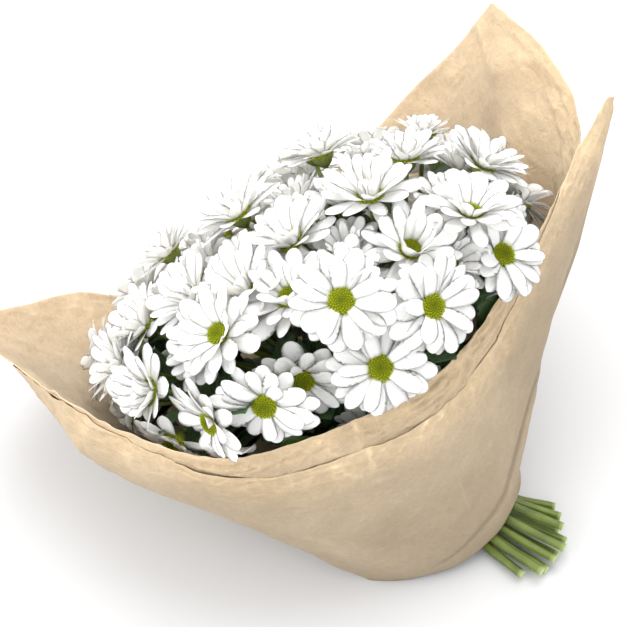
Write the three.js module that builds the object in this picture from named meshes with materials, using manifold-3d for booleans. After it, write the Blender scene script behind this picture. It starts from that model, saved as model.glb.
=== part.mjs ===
// A bunch of white spray chrysanthemums, wrapped in two sheets of brown paper and laid on its side.
// Eleven cut stems are tied together low down and fan out into four blooms each. Every bloom is a
// ring of rays threaded on a green head, which is its calyx below the rays and its disc above them.

import * as THREE from 'three';
import { mergeVertices } from 'three/addons/utils/BufferGeometryUtils.js';
import Module from 'manifold-3d';

const wasm = await Module();
wasm.setup();

// ---- Driving dimensions, in millimetres and degrees ----

// The bunch's own axes: its middle line rises from the wrap's foot to the flowers.
const start = new THREE.Vector3( 0, 0, 25 );
const along = new THREE.Vector3( -0.52, 0.5, 0.69 ).normalize();
const across = new THREE.Vector3( along.y, -along.x, 0 ).normalize();
const upward = new THREE.Vector3().crossVectors( across, along );

// The mound of flowers is part of an ellipsoid round a point on the middle line.
const mound = { distance: 165, toSide: 4, halfAcross: 148, halfUpward: 150, rise: 78 };

const ray = { count: 10, hole: 5.6, root: 9.5, shoulder: 22.5, tip: 31, halfWidth: 5.8, thick: 0.7 };
const rayRise = [ 5, 15 ];
const rayBends = [ 0, 8, -8, 16, -16, 24, -24, 33, 43, -33, 55 ];
const rayReaches = [ 1, 0.85, 0.7, 0.5, 0.3 ];

const head = { base: -7.5, calyxEdge: 5.8, neck: 4.9, disc: 8.4, crown: 4.6, sides: 5 };
const pedicel = {
	radius: 1.5, sides: 4, steps: 3,
	starts: [ 0.97, 0.9, 0.83, 0.76, 0.68 ], bows: [ 0, 14, -14, 26, -26 ],
};
const stem = { radius: 3, sides: 6, steps: 10, pitch: 6.8 };
const leaf = {
	thick: 0.75, droop: 170, perStem: 2, length: 52, broadest: 29, halfWidth: 12.5,
	starts: [ 0.8, 0.88, 0.7, 0.6, 0.95 ], leans: [ 55, 35, 75, 20 ],
};
const tie = { section: 1.2, gap: 0.8, steps: 18, sides: 4, straight: 7 };

// The wrap: each sheet lies between two faces, counted outwards from the flowers' side, and each
// face has a lowest height, so that the sheets lie flat on the table.
const faces = [
	{ out: 0, lowest: 1.7 },
	{ out: 0.9, lowest: 1 },
	{ out: 1.5, lowest: 0.7 },
	{ out: 2.4, lowest: 0 },
];
const sheetSlack = 6;
const sheetRows = 4;

// Angles round the bunch are counted from its upper side towards its right side.
const sheetAngles = [
	-180, -165, -150, -141, -133, -126, -120, -112, -104, -96, -88, -79, -69, -59, -48, -36, -24, -12,
	0, 12, 22, 30, 37, 43, 50, 55, 60, 66, 72, 77, 83, 90, 100, 111, 123, 136, 150, 165,
];

// The foot of the wrap, a slanting oval over the stems: [ angle, x, y, z ].
const footRows = [
	[ -180, 10, -3, 0 ],
	[ -150, -18, -21, 0 ],
	[ -120, -42, -34, 0 ],
	[ -90, -46, -39, 0 ],
	[ -70, -27, -41, 2 ],
	[ -50, -6, -38, 4 ],
	[ -25, 16, -31, 8 ],
	[ 0, 38, -16, 17 ],
	[ 25, 49, -2, 26 ],
	[ 50, 55, 10, 38 ],
	[ 70, 54, 20, 46 ],
	[ 90, 48, 31, 50 ],
	[ 110, 42, 36, 34 ],
	[ 130, 34, 30, 12 ],
	[ 150, 26, 16, 0 ],
];

// The rim of the inner sheet: [ angle, distance along the axis, radius, bulge of the wall below ].
const rimRows = [
	[ -180, 196, 192, 22 ],
	[ -163, 238, 188, 17 ],
	[ -146, 258, 190, 12 ],
	[ -132, 274, 196, 8 ],
	[ -120, 284, 196, 6 ],
	[ -112, 262, 184, 5 ],
	[ -104, 231, 172, 4 ],
	[ -96, 216, 168, 4 ],
	[ -80, 180, 164, 3 ],
	[ -65, 145, 157, 3 ],
	[ -50, 131, 143, 4 ],
	[ -30, 118, 127, 5 ],
	[ -10, 112, 119, 5 ],
	[ 10, 115, 118, 4 ],
	[ 28, 125, 130, 3 ],
	[ 43, 154, 175, 2 ],
	[ 50, 167, 196, 2 ],
	[ 55, 181, 208, 2 ],
	[ 66, 219, 220, 2 ],
	[ 77, 266, 221, 2 ],
	[ 90, 248, 208, 4 ],
	[ 104, 235, 204, 7 ],
	[ 120, 217, 197, 10 ],
	[ 140, 199, 191, 15 ],
	[ 160, 190, 191, 19 ],
];
const rimCorners = [ -120, 77 ];

// The rim of the outer sheet: [ angle, its share of the wall's length, how far it stands off ].
const outerRows = [
	[ -180, 0.76, 0 ],
	[ -150, 0.84, 5 ],
	[ -133, 0.855, 9 ],
	[ -125, 0.77, 20 ],
	[ -117, 0.715, 33 ],
	[ -107, 0.73, 38 ],
	[ -96, 0.81, 24 ],
	[ -84, 0.86, 9 ],
	[ -70, 0.86, 1 ],
	[ -30, 0.86, 0 ],
	[ 10, 0.86, 0 ],
	[ 36, 0.86, 4 ],
	[ 50, 0.85, 15 ],
	[ 60, 0.89, 38 ],
	[ 66, 0.76, 22 ],
	[ 74, 0.64, 8 ],
	[ 90, 0.6, 2 ],
	[ 130, 0.7, 0 ],
];
const outerCorners = [ -133, 60 ];

// The bundle's middle line: on the table at the cut ends, where it comes out of the wrap, in the
// tie, and at two places further along the bunch's axis, where spread is how far apart the stems
// stand, as a multiple of their pitch in the tie.
const footMiddle = new THREE.Vector3( 85, -22, 0 );
const exitMiddle = new THREE.Vector3( 48, 1, 0 );
const footSide = new THREE.Vector3( 0.53, 0.85, 0 ).normalize();
const footBack = new THREE.Vector3( -0.85, 0.53, 0 ).normalize();
const footCurve = 0.02;
const exitShare = 0.75;
const tieMiddle = new THREE.Vector3( 14, 22, 23 );
const tieAhead = new THREE.Vector3( -0.767, 0.404, 0.506 ).normalize();
const midway = { distance: 45, toSide: 14, up: -4, spread: 2.5 };
const branching = { distance: 92, toSide: 5, up: -2, spread: 5 };

// Each stem: place is its place in the tie, sideways and up, in pitches; foot is its cut end, as
// [ sideways, height ]; and each of its blooms is [ angle from the mound's top, angle round it,
// lift ] and, where a bloom turns away from the mound, the two angles of the way it faces.
const stems = [
	{ place: [ -1, -0.866 ], foot: [ -16.5, 5.2 ], blooms: [
		[ 60, -97, 4 ], [ 64, -126, 6 ], [ 84, -130, -9 ], [ 82, -152, -8 ] ] },
	{ place: [ 0, -0.866 ], foot: [ -4, 5.2 ], blooms: [
		[ 44, -146, 2 ], [ 46, 168, 0 ], [ 76, 171, 0 ], [ 66, -160, 8 ] ] },
	{ place: [ 1, -0.866 ], foot: [ 12, 5.2 ], blooms: [
		[ 46, 130, 8 ], [ 76, 118, 0 ], [ 76, 145, 6 ], [ 26, 100, 10 ] ] },
	{ place: [ -1.5, 0 ], foot: [ -28, 7 ], blooms: [
		[ 90, -63, 6, 80, -85 ], [ 95, -80, 0 ], [ 72, -77, 8 ], [ 80, -103, -7 ] ] },
	{ place: [ -0.5, 0 ], foot: [ -10, 11 ], blooms: [
		[ 50, -44, 2 ], [ 42, -66, 0 ], [ 24, -120, 8 ], [ 46, -94, 0 ] ] },
	{ place: [ 0.5, 0 ], foot: [ 5, 11.5 ], blooms: [
		[ 46, 32, 4 ], [ 20, -40, 10 ], [ 22, 40, 12 ], [ 20, 150, 4 ] ] },
	{ place: [ 1.5, 0 ], foot: [ 26, 8 ], blooms: [
		[ 50, 62, 8 ], [ 82, 66, 0 ], [ 46, 95, 2 ], [ 76, 92, 4 ] ] },
	{ place: [ -1, 0.866 ], foot: [ -22, 11.2 ], blooms: [
		[ 92, -49, 8 ], [ 65, -51, 14 ], [ 100, -42, -19 ], [ 138, -36, 0, 95, -36 ] ] },
	{ place: [ 0, 0.866 ], foot: [ -3, 17 ], blooms: [
		[ 76, -24, 22, 78, -25 ], [ 62, -33, 2 ], [ 42, -24, 2 ], [ 50, 2, 10 ] ] },
	{ place: [ 1, 0.866 ], foot: [ 17, 15.5 ], blooms: [
		[ 99, 18, 4, 75, 5 ], [ 78, 14, 10, 45, 15 ], [ 70, 36, 8 ], [ 95, 48, 0, 60, 60 ] ] },
	{ place: [ 0.5, 1.732 ], foot: [ 8, 21 ], blooms: [
		[ 94, -8, 8, 85, -5 ], [ 104, -24, 4, 80, -25 ], [ 72, -2, -2, 60, 0 ],
		[ 138, -15, 0, 95, -15 ] ] },
];

const colours = {
	rays: { color: 0xf3f3ee, roughness: 0.6 },
	greens: { color: 0x6f8c34, roughness: 0.55 },
	paper: { color: 0xc6a47a, roughness: 0.85 },
	tie: { color: 0xb79a66, roughness: 0.9 },
};

// ---- Small helpers ----

const radians = THREE.MathUtils.degToRad;

function material( look ) {

	return new THREE.MeshStandardMaterial( { metalness: 0, side: THREE.DoubleSide, ...look } );

}

// A closed geometry as a manifold-3d solid, with its shared corners merged.
function solidOf( geometry ) {

	const bare = new THREE.BufferGeometry();
	bare.setAttribute( 'position', geometry.getAttribute( 'position' ) );
	if ( geometry.index ) bare.setIndex( geometry.index );
	const merged = mergeVertices( bare, 1e-3 );
	const corners = merged.index.array;
	const kept = [];
	for ( let i = 0; i < corners.length; i += 3 ) {

		const [ a, b, c ] = corners.slice( i, i + 3 );
		if ( a !== b && b !== c && c !== a ) kept.push( a, b, c );

	}

	return new wasm.Manifold( new wasm.Mesh( {
		numProp: 3,
		vertProperties: new Float32Array( merged.attributes.position.array ),
		triVerts: new Uint32Array( kept ),
	} ) );

}

function geometryOf( solid ) {

	const mesh = solid.getMesh();
	const geometry = new THREE.BufferGeometry();
	geometry.setAttribute( 'position', new THREE.BufferAttribute( mesh.vertProperties, 3 ) );
	geometry.setIndex( new THREE.BufferAttribute( mesh.triVerts, 1 ) );
	return geometry;

}

function polygon( radius, sides ) {

	const centre = new THREE.Vector2();
	const corners = [];
	for ( let i = 0; i < sides; i ++ )
		corners.push( new THREE.Vector2( radius, 0 ).rotateAround( centre, i * 2 * Math.PI / sides ) );
	return new THREE.Shape( corners );

}

// A point at a distance along the bunch's axis and a radius and angle round it.
function inBunch( distance, radius, angle ) {

	return start.clone()
		.addScaledVector( along, distance )
		.addScaledVector( upward, radius * Math.cos( radians( angle ) ) )
		.addScaledVector( across, radius * Math.sin( radians( angle ) ) );

}

// A direction at an angle from the bunch's axis and an angle round it.
function facing( lean, angle ) {

	return inBunch( Math.cos( radians( lean ) ), Math.sin( radians( lean ) ), angle ).sub( start );

}

// Reads a table whose rows start with their angle, at any angle: a smooth curve through the rows
// all round, with a corner at the angles that corners lists.
function readRound( rows, corners, angle ) {

	const count = rows.length;
	const first = rows[ 0 ][ 0 ];
	const turned = first + THREE.MathUtils.euclideanModulo( angle - first, 360 );
	const place = rows.findLastIndex( row => row[ 0 ] <= turned );
	const [ before, from, to, after ] = [ -1, 0, 1, 2 ].map( step => {

		const row = rows[ ( place + step + count ) % count ];
		return [ row[ 0 ] + 360 * Math.floor( ( place + step ) / count ), ...row.slice( 1 ) ];

	} );
	const width = to[ 0 ] - from[ 0 ];
	const s = ( turned - from[ 0 ] ) / width;
	const isCorner = row => corners.includes( row[ 0 ] ) || corners.includes( row[ 0 ] - 360 );
	return from.slice( 1 ).map( ( value, i ) => {

		const c = i + 1;
		const chord = ( to[ c ] - value ) / width;
		const slopeFrom = isCorner( from ) ? chord : ( to[ c ] - before[ c ] ) / ( to[ 0 ] - before[ 0 ] );
		const slopeTo = isCorner( to ) ? chord : ( after[ c ] - value ) / ( after[ 0 ] - from[ 0 ] );
		return value * ( 1 + 2 * s ) * ( 1 - s ) ** 2 + to[ c ] * s * s * ( 3 - 2 * s )
			+ width * ( slopeFrom * s * ( 1 - s ) ** 2 - slopeTo * s * s * ( 1 - s ) );

	} );

}

// ---- Room already taken, as balls in a grid of cubes, so that nothing is grown through it ----

const cube = 8;
const taken = new Map();

function cubeOf( point, dx = 0, dy = 0, dz = 0 ) {

	return [ point.x / cube + dx, point.y / cube + dy, point.z / cube + dz ].map( Math.floor ).join();

}

function take( point, radius, owner ) {

	const key = cubeOf( point );
	if ( ! taken.has( key ) ) taken.set( key, [] );
	taken.get( key ).push( { point, radius, owner } );

}

function isFree( point, radius, mayTouch ) {

	const near = [ -1, 0, 1 ];
	return near.every( dx => near.every( dy => near.every( dz =>
		( taken.get( cubeOf( point, dx, dy, dz ) ) ?? [] ).every( ball =>
			mayTouch( ball.owner ) || ball.point.distanceTo( point ) > ball.radius + radius ) ) ) );

}

// ---- The wrap ----

// A point of the wrap's wall: t runs from 0 at the foot to 1 at the inner sheet's rim.
function wallPoint( angle, t, face, loose ) {

	const [ x, y, z ] = readRound( footRows, [], angle );
	const [ distance, radius, bulge ] = readRound( rimRows, rimCorners, angle );
	const rim = inBunch( distance, radius, angle );
	const out = face.out + bulge * 4 * t * ( 1 - t ) + loose;
	const point = new THREE.Vector3( x, y, z ).lerp( rim, t ).addScaledVector( facing( 90, angle ), out );
	point.z = Math.max( point.z, face.lowest );
	return point;

}

function innerPoint( angle, share, face ) {

	return wallPoint( angle, share, face, 0 );

}

function outerPoint( angle, share, face ) {

	const [ reach, standOff ] = readRound( outerRows, outerCorners, angle );
	const t = share * reach;
	return wallPoint( angle, t, face, sheetSlack * 4 * t * ( 1 - t ) + standOff * share * share );

}

// A sheet closed round the bunch: two faces on the same grid, joined along the foot and the rim.
function sheetGeometry( pointAt, inside, outside ) {

	const positions = [];
	const columns = sheetAngles.length;
	for ( const face of [ inside, outside ] )
		for ( let row = 0; row <= sheetRows; row ++ )
			for ( const angle of sheetAngles ) positions.push( ...pointAt( angle, row / sheetRows, face ) );
	const corner = ( side, row, column ) => ( side * ( sheetRows + 1 ) + row ) * columns + column % columns;
	const indices = [];
	const quad = ( a, b, c, d ) => indices.push( a, c, b, a, d, c );
	for ( let i = 0; i < columns; i ++ ) {

		for ( let j = 0; j < sheetRows; j ++ ) {

			const [ a, b, c, d ] = [ [ j, i ], [ j, i + 1 ], [ j + 1, i + 1 ], [ j + 1, i ] ];
			indices.push( corner( 1, ...a ), corner( 1, ...b ), corner( 1, ...c ) );
			indices.push( corner( 1, ...a ), corner( 1, ...c ), corner( 1, ...d ) );
			indices.push( corner( 0, ...a ), corner( 0, ...c ), corner( 0, ...b ) );
			indices.push( corner( 0, ...a ), corner( 0, ...d ), corner( 0, ...c ) );

		}

		quad( corner( 1, 0, i ), corner( 1, 0, i + 1 ), corner( 0, 0, i + 1 ), corner( 0, 0, i ) );
		quad( corner( 0, sheetRows, i ), corner( 0, sheetRows, i + 1 ),
			corner( 1, sheetRows, i + 1 ), corner( 1, sheetRows, i ) );

	}

	const geometry = new THREE.BufferGeometry();
	geometry.setAttribute( 'position', new THREE.Float32BufferAttribute( positions, 3 ) );
	geometry.setIndex( indices );
	return geometry;

}

// The inner sheet's room, from balls close enough together that nothing slips between them.
function takeInnerSheet() {

	const turns = 300;
	const rows = 80;
	const ball = 1.5;
	for ( let i = 0; i < turns; i ++ )
		for ( let j = 0; j <= rows; j ++ )
			take( innerPoint( i * 360 / turns - 180, j / rows, faces[ 0 ] ), ball, 'sheet' );

}

// ---- Stems, pedicels and heads ----

function besideAxis( { distance, toSide, up, spread }, [ x, y ] ) {

	return inBunch( distance, 0, 0 )
		.addScaledVector( across, toSide + x * spread * stem.pitch )
		.addScaledVector( upward, up + y * spread * stem.pitch );

}

function tieAxes() {

	const side = across.clone().addScaledVector( tieAhead, - across.dot( tieAhead ) ).normalize();
	return { side, up: new THREE.Vector3().crossVectors( side, tieAhead ) };

}

// A point beside the tie's middle, and a little ahead of it or behind it along the stems.
function inTie( x, y, ahead = 0 ) {

	const { side, up } = tieAxes();
	return tieMiddle.clone()
		.addScaledVector( side, x )
		.addScaledVector( up, y )
		.addScaledVector( tieAhead, ahead );

}

// A point of a stem near its cut end. The ends lie in a shallow curve, and back is how far this
// one is cut short of it.
function atFoot( middle, share, [ sideways, height ], back ) {

	const aside = sideways * share;
	return middle.clone()
		.addScaledVector( footSide, aside )
		.addScaledVector( footBack, footCurve * aside ** 2 + back )
		.setZ( height );

}

function stemCurve( { place, foot }, index ) {

	const cut = 3 * Math.sin( 7 * index );
	const [ x, y ] = place.map( pitches => pitches * stem.pitch );
	return new THREE.CatmullRomCurve3( [
		atFoot( footMiddle, 1, foot, cut ),
		atFoot( exitMiddle, exitShare, foot, 0 ),
		inTie( x, y, - tie.straight ),
		inTie( x, y, tie.straight ),
		besideAxis( midway, place ),
		besideAxis( branching, place ),
	], false, 'centripetal' );

}

// A rod along a curve.
function rod( curve, radius, sides, steps ) {

	return solidOf( new THREE.ExtrudeGeometry( polygon( radius, sides ), { steps, extrudePath: curve } ) );

}

function takeCurve( curve, radius, owner ) {

	const pieces = Math.ceil( curve.getLength() / 2 );
	for ( let i = 0; i <= pieces; i ++ ) take( curve.getPoint( i / pieces ), radius, owner );

}

// Where a bloom sits and which way it faces, from its row in the list of stems.
function bloomSeat( [ lean, angle, lift, faceLean, faceAngle ] ) {

	const direction = facing( lean, angle );
	const sizes = [ mound.halfAcross, mound.halfUpward, mound.rise ];
	const parts = [ across, upward, along ].map( axis => direction.dot( axis ) );
	const centre = inBunch( mound.distance, 0, 0 ).addScaledVector( across, mound.toSide );
	const normal = new THREE.Vector3();
	[ across, upward, along ].forEach( ( axis, i ) => {

		centre.addScaledVector( axis, parts[ i ] * sizes[ i ] );
		normal.addScaledVector( axis, parts[ i ] / sizes[ i ] );

	} );
	normal.normalize();
	centre.addScaledVector( normal, lift );
	const faces = faceLean === undefined ? normal : facing( faceLean, faceAngle );
	return { centre, faces };

}

// The calyx, the neck that the rays are threaded on, and the disc over them.
function headSolid( { centre, faces } ) {

	const outline = [
		[ 0, head.base - 1.5 ],
		[ head.calyxEdge, -0.75 ],
		[ head.neck, -0.75 ],
		[ head.neck, 0.75 ],
		[ head.disc, 0.75 ],
		[ head.disc - 1.4, 3 ],
		[ 0, head.crown ],
	];
	const points = outline.map( ( [ radius, height ] ) => new THREE.Vector2( radius, height ) );
	const geometry = new THREE.LatheGeometry( points, head.sides );
	const turn = new THREE.Quaternion().setFromUnitVectors( new THREE.Vector3( 0, 1, 0 ), faces );
	return solidOf( geometry.applyQuaternion( turn ).translate( ...centre ) );

}

// The head's room: a ring of balls round the disc, one round the calyx, and one ball inside each.
const headBalls = [
	{ height: -4.5, out: 0, radius: 4, count: 1 },
	{ height: 2, out: 0, radius: 4, count: 1 },
	{ height: 1.8, out: 6.6, radius: 2.6, count: 10 },
	{ height: -1.2, out: 4.4, radius: 2, count: 10 },
];

function takeHead( { centre, faces }, owner ) {

	const side = new THREE.Vector3( 1, 0, 0 ).cross( faces ).normalize();
	for ( const { height, out, radius, count } of headBalls )
		for ( let i = 0; i < count; i ++ ) {

			const spoke = side.clone().applyAxisAngle( faces, i * 2 * Math.PI / count );
			const ball = centre.clone().addScaledVector( faces, height ).addScaledVector( spoke, out );
			take( ball, radius, owner );

		}

}

// One way for a pedicel to go: it leaves the stem along it and comes up under its bloom.
function bentPedicel( curve, seat, from, sideways, bow ) {

	const begin = curve.getPoint( from );
	const end = seat.centre.clone().addScaledVector( seat.faces, head.base );
	const far = begin.distanceTo( end );
	return new THREE.CubicBezierCurve3(
		begin,
		begin.clone()
			.addScaledVector( curve.getTangent( from ), 0.4 * far )
			.addScaledVector( sideways, bow ),
		end.clone().addScaledVector( seat.faces, -0.38 * far ).addScaledVector( sideways, bow ),
		end,
	);

}

// Every way that a pedicel is tried, from several places on the stem and with several bends.
function pedicelCurves( curve, seat ) {

	return pedicel.starts.flatMap( from =>
		pedicel.bows.flatMap( bow =>
			[ across, upward ].map( sideways => bentPedicel( curve, seat, from, sideways, bow ) ) ) );

}

// The first way that is clear of all but the pedicel's own stem and bloom, or the clearest one.
function pedicelCurve( curve, seat, spray, bloom ) {

	const mayTouch = owner => owner === bloom || owner === spray;
	const room = pedicel.radius + 0.5;
	let best;
	let fewest = Infinity;
	for ( const path of pedicelCurves( curve, seat ) ) {

		const points = path.getPoints( 24 ).slice( 2 );
		const blocked = points.filter( point => ! isFree( point, room, mayTouch ) ).length;
		if ( blocked < fewest ) {

			fewest = blocked;
			best = path;

		}

		if ( blocked === 0 ) break;

	}

	return best;

}

// ---- Rays ----

// The distance out and the height of a point of a ray, from those of its place on a flat ray.
function bentRay( out, height, rise, reach ) {

	const length = Math.max( out - ray.root, 0 ) * reach;
	const inward = Math.min( out, ray.root );
	const angle = out > ray.root ? radians( rise ) : 0;
	return [
		inward + length * Math.cos( angle ) - height * Math.sin( angle ),
		length * Math.sin( angle ) + height * Math.cos( angle ),
	];

}

function rayHalfWidth( out ) {

	const { root, shoulder, tip, halfWidth } = ray;
	const rootHalf = root * Math.tan( Math.PI / ray.count );
	if ( out < shoulder ) return THREE.MathUtils.mapLinear( out, root, shoulder, rootHalf, halfWidth );
	return THREE.MathUtils.mapLinear( out, shoulder, tip, halfWidth, 0.5 );

}

// Points all over one ray, in the bloom's own frame, where z is the way it faces.
function rayPoints( turn, rise, reach ) {

	const axis = new THREE.Vector3( 0, 0, 1 );
	const points = [];
	for ( let out = ray.root + 2; out <= ray.tip; out += 2.1 / reach )
		for ( const share of [ -1, -0.5, 0, 0.5, 1 ] ) {

			const [ radius, height ] = bentRay( out, 0, rise, reach );
			const point = new THREE.Vector3( radius, share * rayHalfWidth( out ), height );
			points.push( point.applyAxisAngle( axis, turn ) );

		}

	return points;

}

// How one ray is bent and how long it is, so that it is clear of all but its own bloom.
function chooseRay( index, place, owner ) {

	const turn = ( index + 0.5 ) * 2 * Math.PI / ray.count;
	const mayTouch = other => other === owner;
	for ( const reach of rayReaches )
		for ( const bend of rayBends ) {

			const rise = rayRise[ index % 2 ] + bend;
			const points = rayPoints( turn, rise, reach ).map( point => point.applyMatrix4( place ) );
			if ( points.every( point => isFree( point, 1, mayTouch ) ) ) return { rise, reach, points };

		}

	return { rise: 62, reach: 0.3, points: [] };

}

function chooseRays( place, owner ) {

	const chosen = [];
	for ( let i = 0; i < ray.count; i ++ ) {

		const pick = chooseRay( i, place, owner );
		pick.points.forEach( point => take( point, 0.95, owner ) );
		chosen.push( pick );

	}

	return chosen;

}

// All the rays of a bloom in one plate with a hole for the neck. Each ray has five corners past the
// hole: two at its root, which it shares with its neighbours, two at its shoulders and its tip.
function raysGeometry( chosen ) {

	const axis = new THREE.Vector3( 0, 0, 1 );
	const sector = 2 * Math.PI / ray.count;
	const positions = [];
	const indices = [];
	const put = ( radius, sideways, height, angle ) =>
		positions.push( ...new THREE.Vector3( radius, sideways, height ).applyAxisAngle( axis, angle ) );
	chosen.forEach( ( { rise, reach }, i ) => {

		for ( const half of [ ray.thick / 2, - ray.thick / 2 ] ) {

			const [ shoulder, shoulderHeight ] = bentRay( ray.shoulder, half, rise, reach );
			const [ tip, tipHeight ] = bentRay( ray.tip, half, rise, reach );
			const middle = ( i + 0.5 ) * sector;
			put( ray.hole, 0, half, i * sector );
			put( ray.root, 0, half, i * sector );
			put( shoulder, - ray.halfWidth, shoulderHeight, middle );
			put( tip, 0, tipHeight, middle );
			put( shoulder, ray.halfWidth, shoulderHeight, middle );

		}

	} );

	for ( let i = 0; i < ray.count; i ++ ) {

		const next = ( i + 1 ) % ray.count * 10;
		const top = [ 0, 1, 2, 3, 4 ].map( corner => i * 10 + corner ).concat( next + 1, next );
		const under = top.map( corner => corner + 5 );
		for ( const [ a, b, c ] of [ [ 0, 1, 5 ], [ 0, 5, 6 ], [ 1, 2, 4 ], [ 1, 4, 5 ], [ 2, 3, 4 ] ] )
			indices.push( top[ a ], top[ b ], top[ c ], under[ a ], under[ c ], under[ b ] );
		for ( const [ a, b ] of [ [ 1, 2 ], [ 2, 3 ], [ 3, 4 ], [ 4, 5 ], [ 6, 0 ] ] )
			indices.push( top[ a ], under[ a ], under[ b ], top[ a ], under[ b ], top[ b ] );

	}

	const geometry = new THREE.BufferGeometry();
	geometry.setAttribute( 'position', new THREE.Float32BufferAttribute( positions, 3 ) );
	geometry.setIndex( indices );
	return geometry;

}

// ---- Leaves ----

// Half of a lobed leaf's outline, from its stalk to its tip.
const leafEdge = [
	[ 0, 1.1 ], [ 9, 1.6 ], [ 15, 10 ], [ 21, 5 ], [ 31, 14 ], [ 36, 7 ], [ 52, 0 ],
];

function leafGeometry() {

	const right = leafEdge.map( ( [ x, y ] ) => new THREE.Vector2( x, - y ) );
	const left = leafEdge.slice( 0, -1 ).reverse().map( ( [ x, y ] ) => new THREE.Vector2( x, y ) );
	const shape = new THREE.Shape( [ ...right, ...left ] );
	const geometry = new THREE.ExtrudeGeometry( shape, { depth: leaf.thick, bevelEnabled: false } );
	const position = geometry.getAttribute( 'position' );
	for ( let i = 0; i < position.count; i ++ )
		position.setZ( i, position.getZ( i ) - position.getX( i ) ** 2 / leaf.droop );
	return geometry;

}

// Points all over a leaf past its stalk.
function leafPoints() {

	const stalk = leafEdge[ 1 ][ 0 ];
	const points = [];
	for ( let x = stalk; x <= leaf.length; x += 2.4 )
		for ( let share = -1; share <= 1; share += 0.25 ) {

			const slope = ( x - leaf.broadest ) / ( leaf.length / 2 );
			const half = x < stalk + 6 ? 4 : leaf.halfWidth * Math.max( 1 - slope ** 2, 0.04 );
			points.push( new THREE.Vector3( x, share * half, - ( x ** 2 ) / leaf.droop ) );

		}

	return points;

}

// A leaf's place: its stalk starts in the middle of the stem and leans out from it.
function leafPlace( curve, from, round, lean ) {

	const ahead = curve.getTangent( from );
	const side = new THREE.Vector3().crossVectors( ahead, across ).normalize();
	side.applyAxisAngle( ahead, radians( round ) );
	const out = ahead.clone()
		.multiplyScalar( Math.cos( radians( lean ) ) )
		.addScaledVector( side, Math.sin( radians( lean ) ) );
	const width = new THREE.Vector3().crossVectors( ahead, side ).normalize();
	const up = new THREE.Vector3().crossVectors( out, width );
	return new THREE.Matrix4().makeBasis( out, width, up ).setPosition( curve.getPoint( from ) );

}

// A leaf from one place on the stem, turned round it and leant until it is clear of all but its
// own spray, or nothing where there is no room.
function growLeaf( curve, spray, from ) {

	const mayTouch = owner => owner === spray;
	for ( let round = 0; round < 360; round += 30 )
		for ( const lean of leaf.leans ) {

			const place = leafPlace( curve, from, round + 1370 * from, lean );
			const points = leafPoints().map( point => point.applyMatrix4( place ) );
			if ( points.every( point => isFree( point, 1.1, mayTouch ) ) ) {

				points.forEach( point => take( point, 1.1, spray ) );
				return solidOf( leafGeometry().applyMatrix4( place ) );

			}

		}

}

function growLeaves( curve, spray ) {

	const grown = [];
	for ( const from of leaf.starts ) {

		const blade = grown.length < leaf.perStem && growLeaf( curve, spray, from );
		if ( blade ) grown.push( blade );

	}

	return grown;

}

// ---- The tie ----

// A cord drawn tight over the stems: it keeps the same distance from the outermost of them.
function tieGeometry() {

	const reach = stem.radius + tie.gap + tie.section;
	const centres = stems.map( ( { place } ) => new THREE.Vector2( ...place ).multiplyScalar( stem.pitch ) );
	const origin = new THREE.Vector2();
	const loop = [];
	for ( let i = 0; i < tie.steps; i ++ ) {

		const out = new THREE.Vector2( 1, 0 ).rotateAround( origin, i * 2 * Math.PI / tie.steps );
		const outermost = centres.reduce( ( a, b ) => ( b.dot( out ) > a.dot( out ) + 1e-6 ? b : a ) );
		const { x, y } = outermost.clone().addScaledVector( out, reach );
		loop.push( { middle: inTie( x, y ), out: inTie( out.x, out.y ).sub( tieMiddle ) } );

	}

	const positions = [];
	const indices = [];
	loop.forEach( ( { middle, out }, i ) => {

		for ( let j = 0; j < tie.sides; j ++ ) {

			const angle = j * 2 * Math.PI / tie.sides;
			const point = middle.clone()
				.addScaledVector( out, tie.section * Math.cos( angle ) )
				.addScaledVector( tieAhead, tie.section * Math.sin( angle ) );
			positions.push( ...point );
			const next = ( i + 1 ) % tie.steps;
			const [ a, b ] = [ j, ( j + 1 ) % tie.sides ].map( side => i * tie.sides + side );
			const [ d, c ] = [ j, ( j + 1 ) % tie.sides ].map( side => next * tie.sides + side );
			indices.push( a, b, c, a, c, d );

		}

	} );
	const geometry = new THREE.BufferGeometry();
	geometry.setAttribute( 'position', new THREE.Float32BufferAttribute( positions, 3 ) );
	geometry.setIndex( indices );
	return geometry;

}

// ---- The whole bunch ----

const bunch = new THREE.Group();

function add( name, geometry, look ) {

	const mesh = new THREE.Mesh( geometry, material( look ) );
	mesh.name = name;
	bunch.add( mesh );
	return mesh;

}

const twoDigits = number => String( number ).padStart( 2, '0' );

add( 'paper_inner', sheetGeometry( innerPoint, faces[ 0 ], faces[ 1 ] ), colours.paper );
add( 'paper_outer', sheetGeometry( outerPoint, faces[ 2 ], faces[ 3 ] ), colours.paper );
add( 'tie', tieGeometry(), colours.tie );

takeInnerSheet();
const curves = stems.map( stemCurve );
curves.forEach( ( curve, i ) => takeCurve( curve, stem.radius, `spray ${ i }` ) );
const seats = stems.map( ( { blooms } ) => blooms.map( bloomSeat ) );
seats.forEach( ( group, i ) => group.forEach( ( seat, j ) => takeHead( seat, `bloom ${ i } ${ j }` ) ) );

const greens = stems.map( ( _, i ) => {

	let solid = rod( curves[ i ], stem.radius, stem.sides, stem.steps );
	seats[ i ].forEach( ( seat, j ) => {

		const path = pedicelCurve( curves[ i ], seat, `spray ${ i }`, `bloom ${ i } ${ j }` );
		takeCurve( path, pedicel.radius, `spray ${ i }` );
		solid = solid.add( rod( path, pedicel.radius, pedicel.sides, pedicel.steps ) ).add( headSolid( seat ) );

	} );
	return solid;

} );

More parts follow.
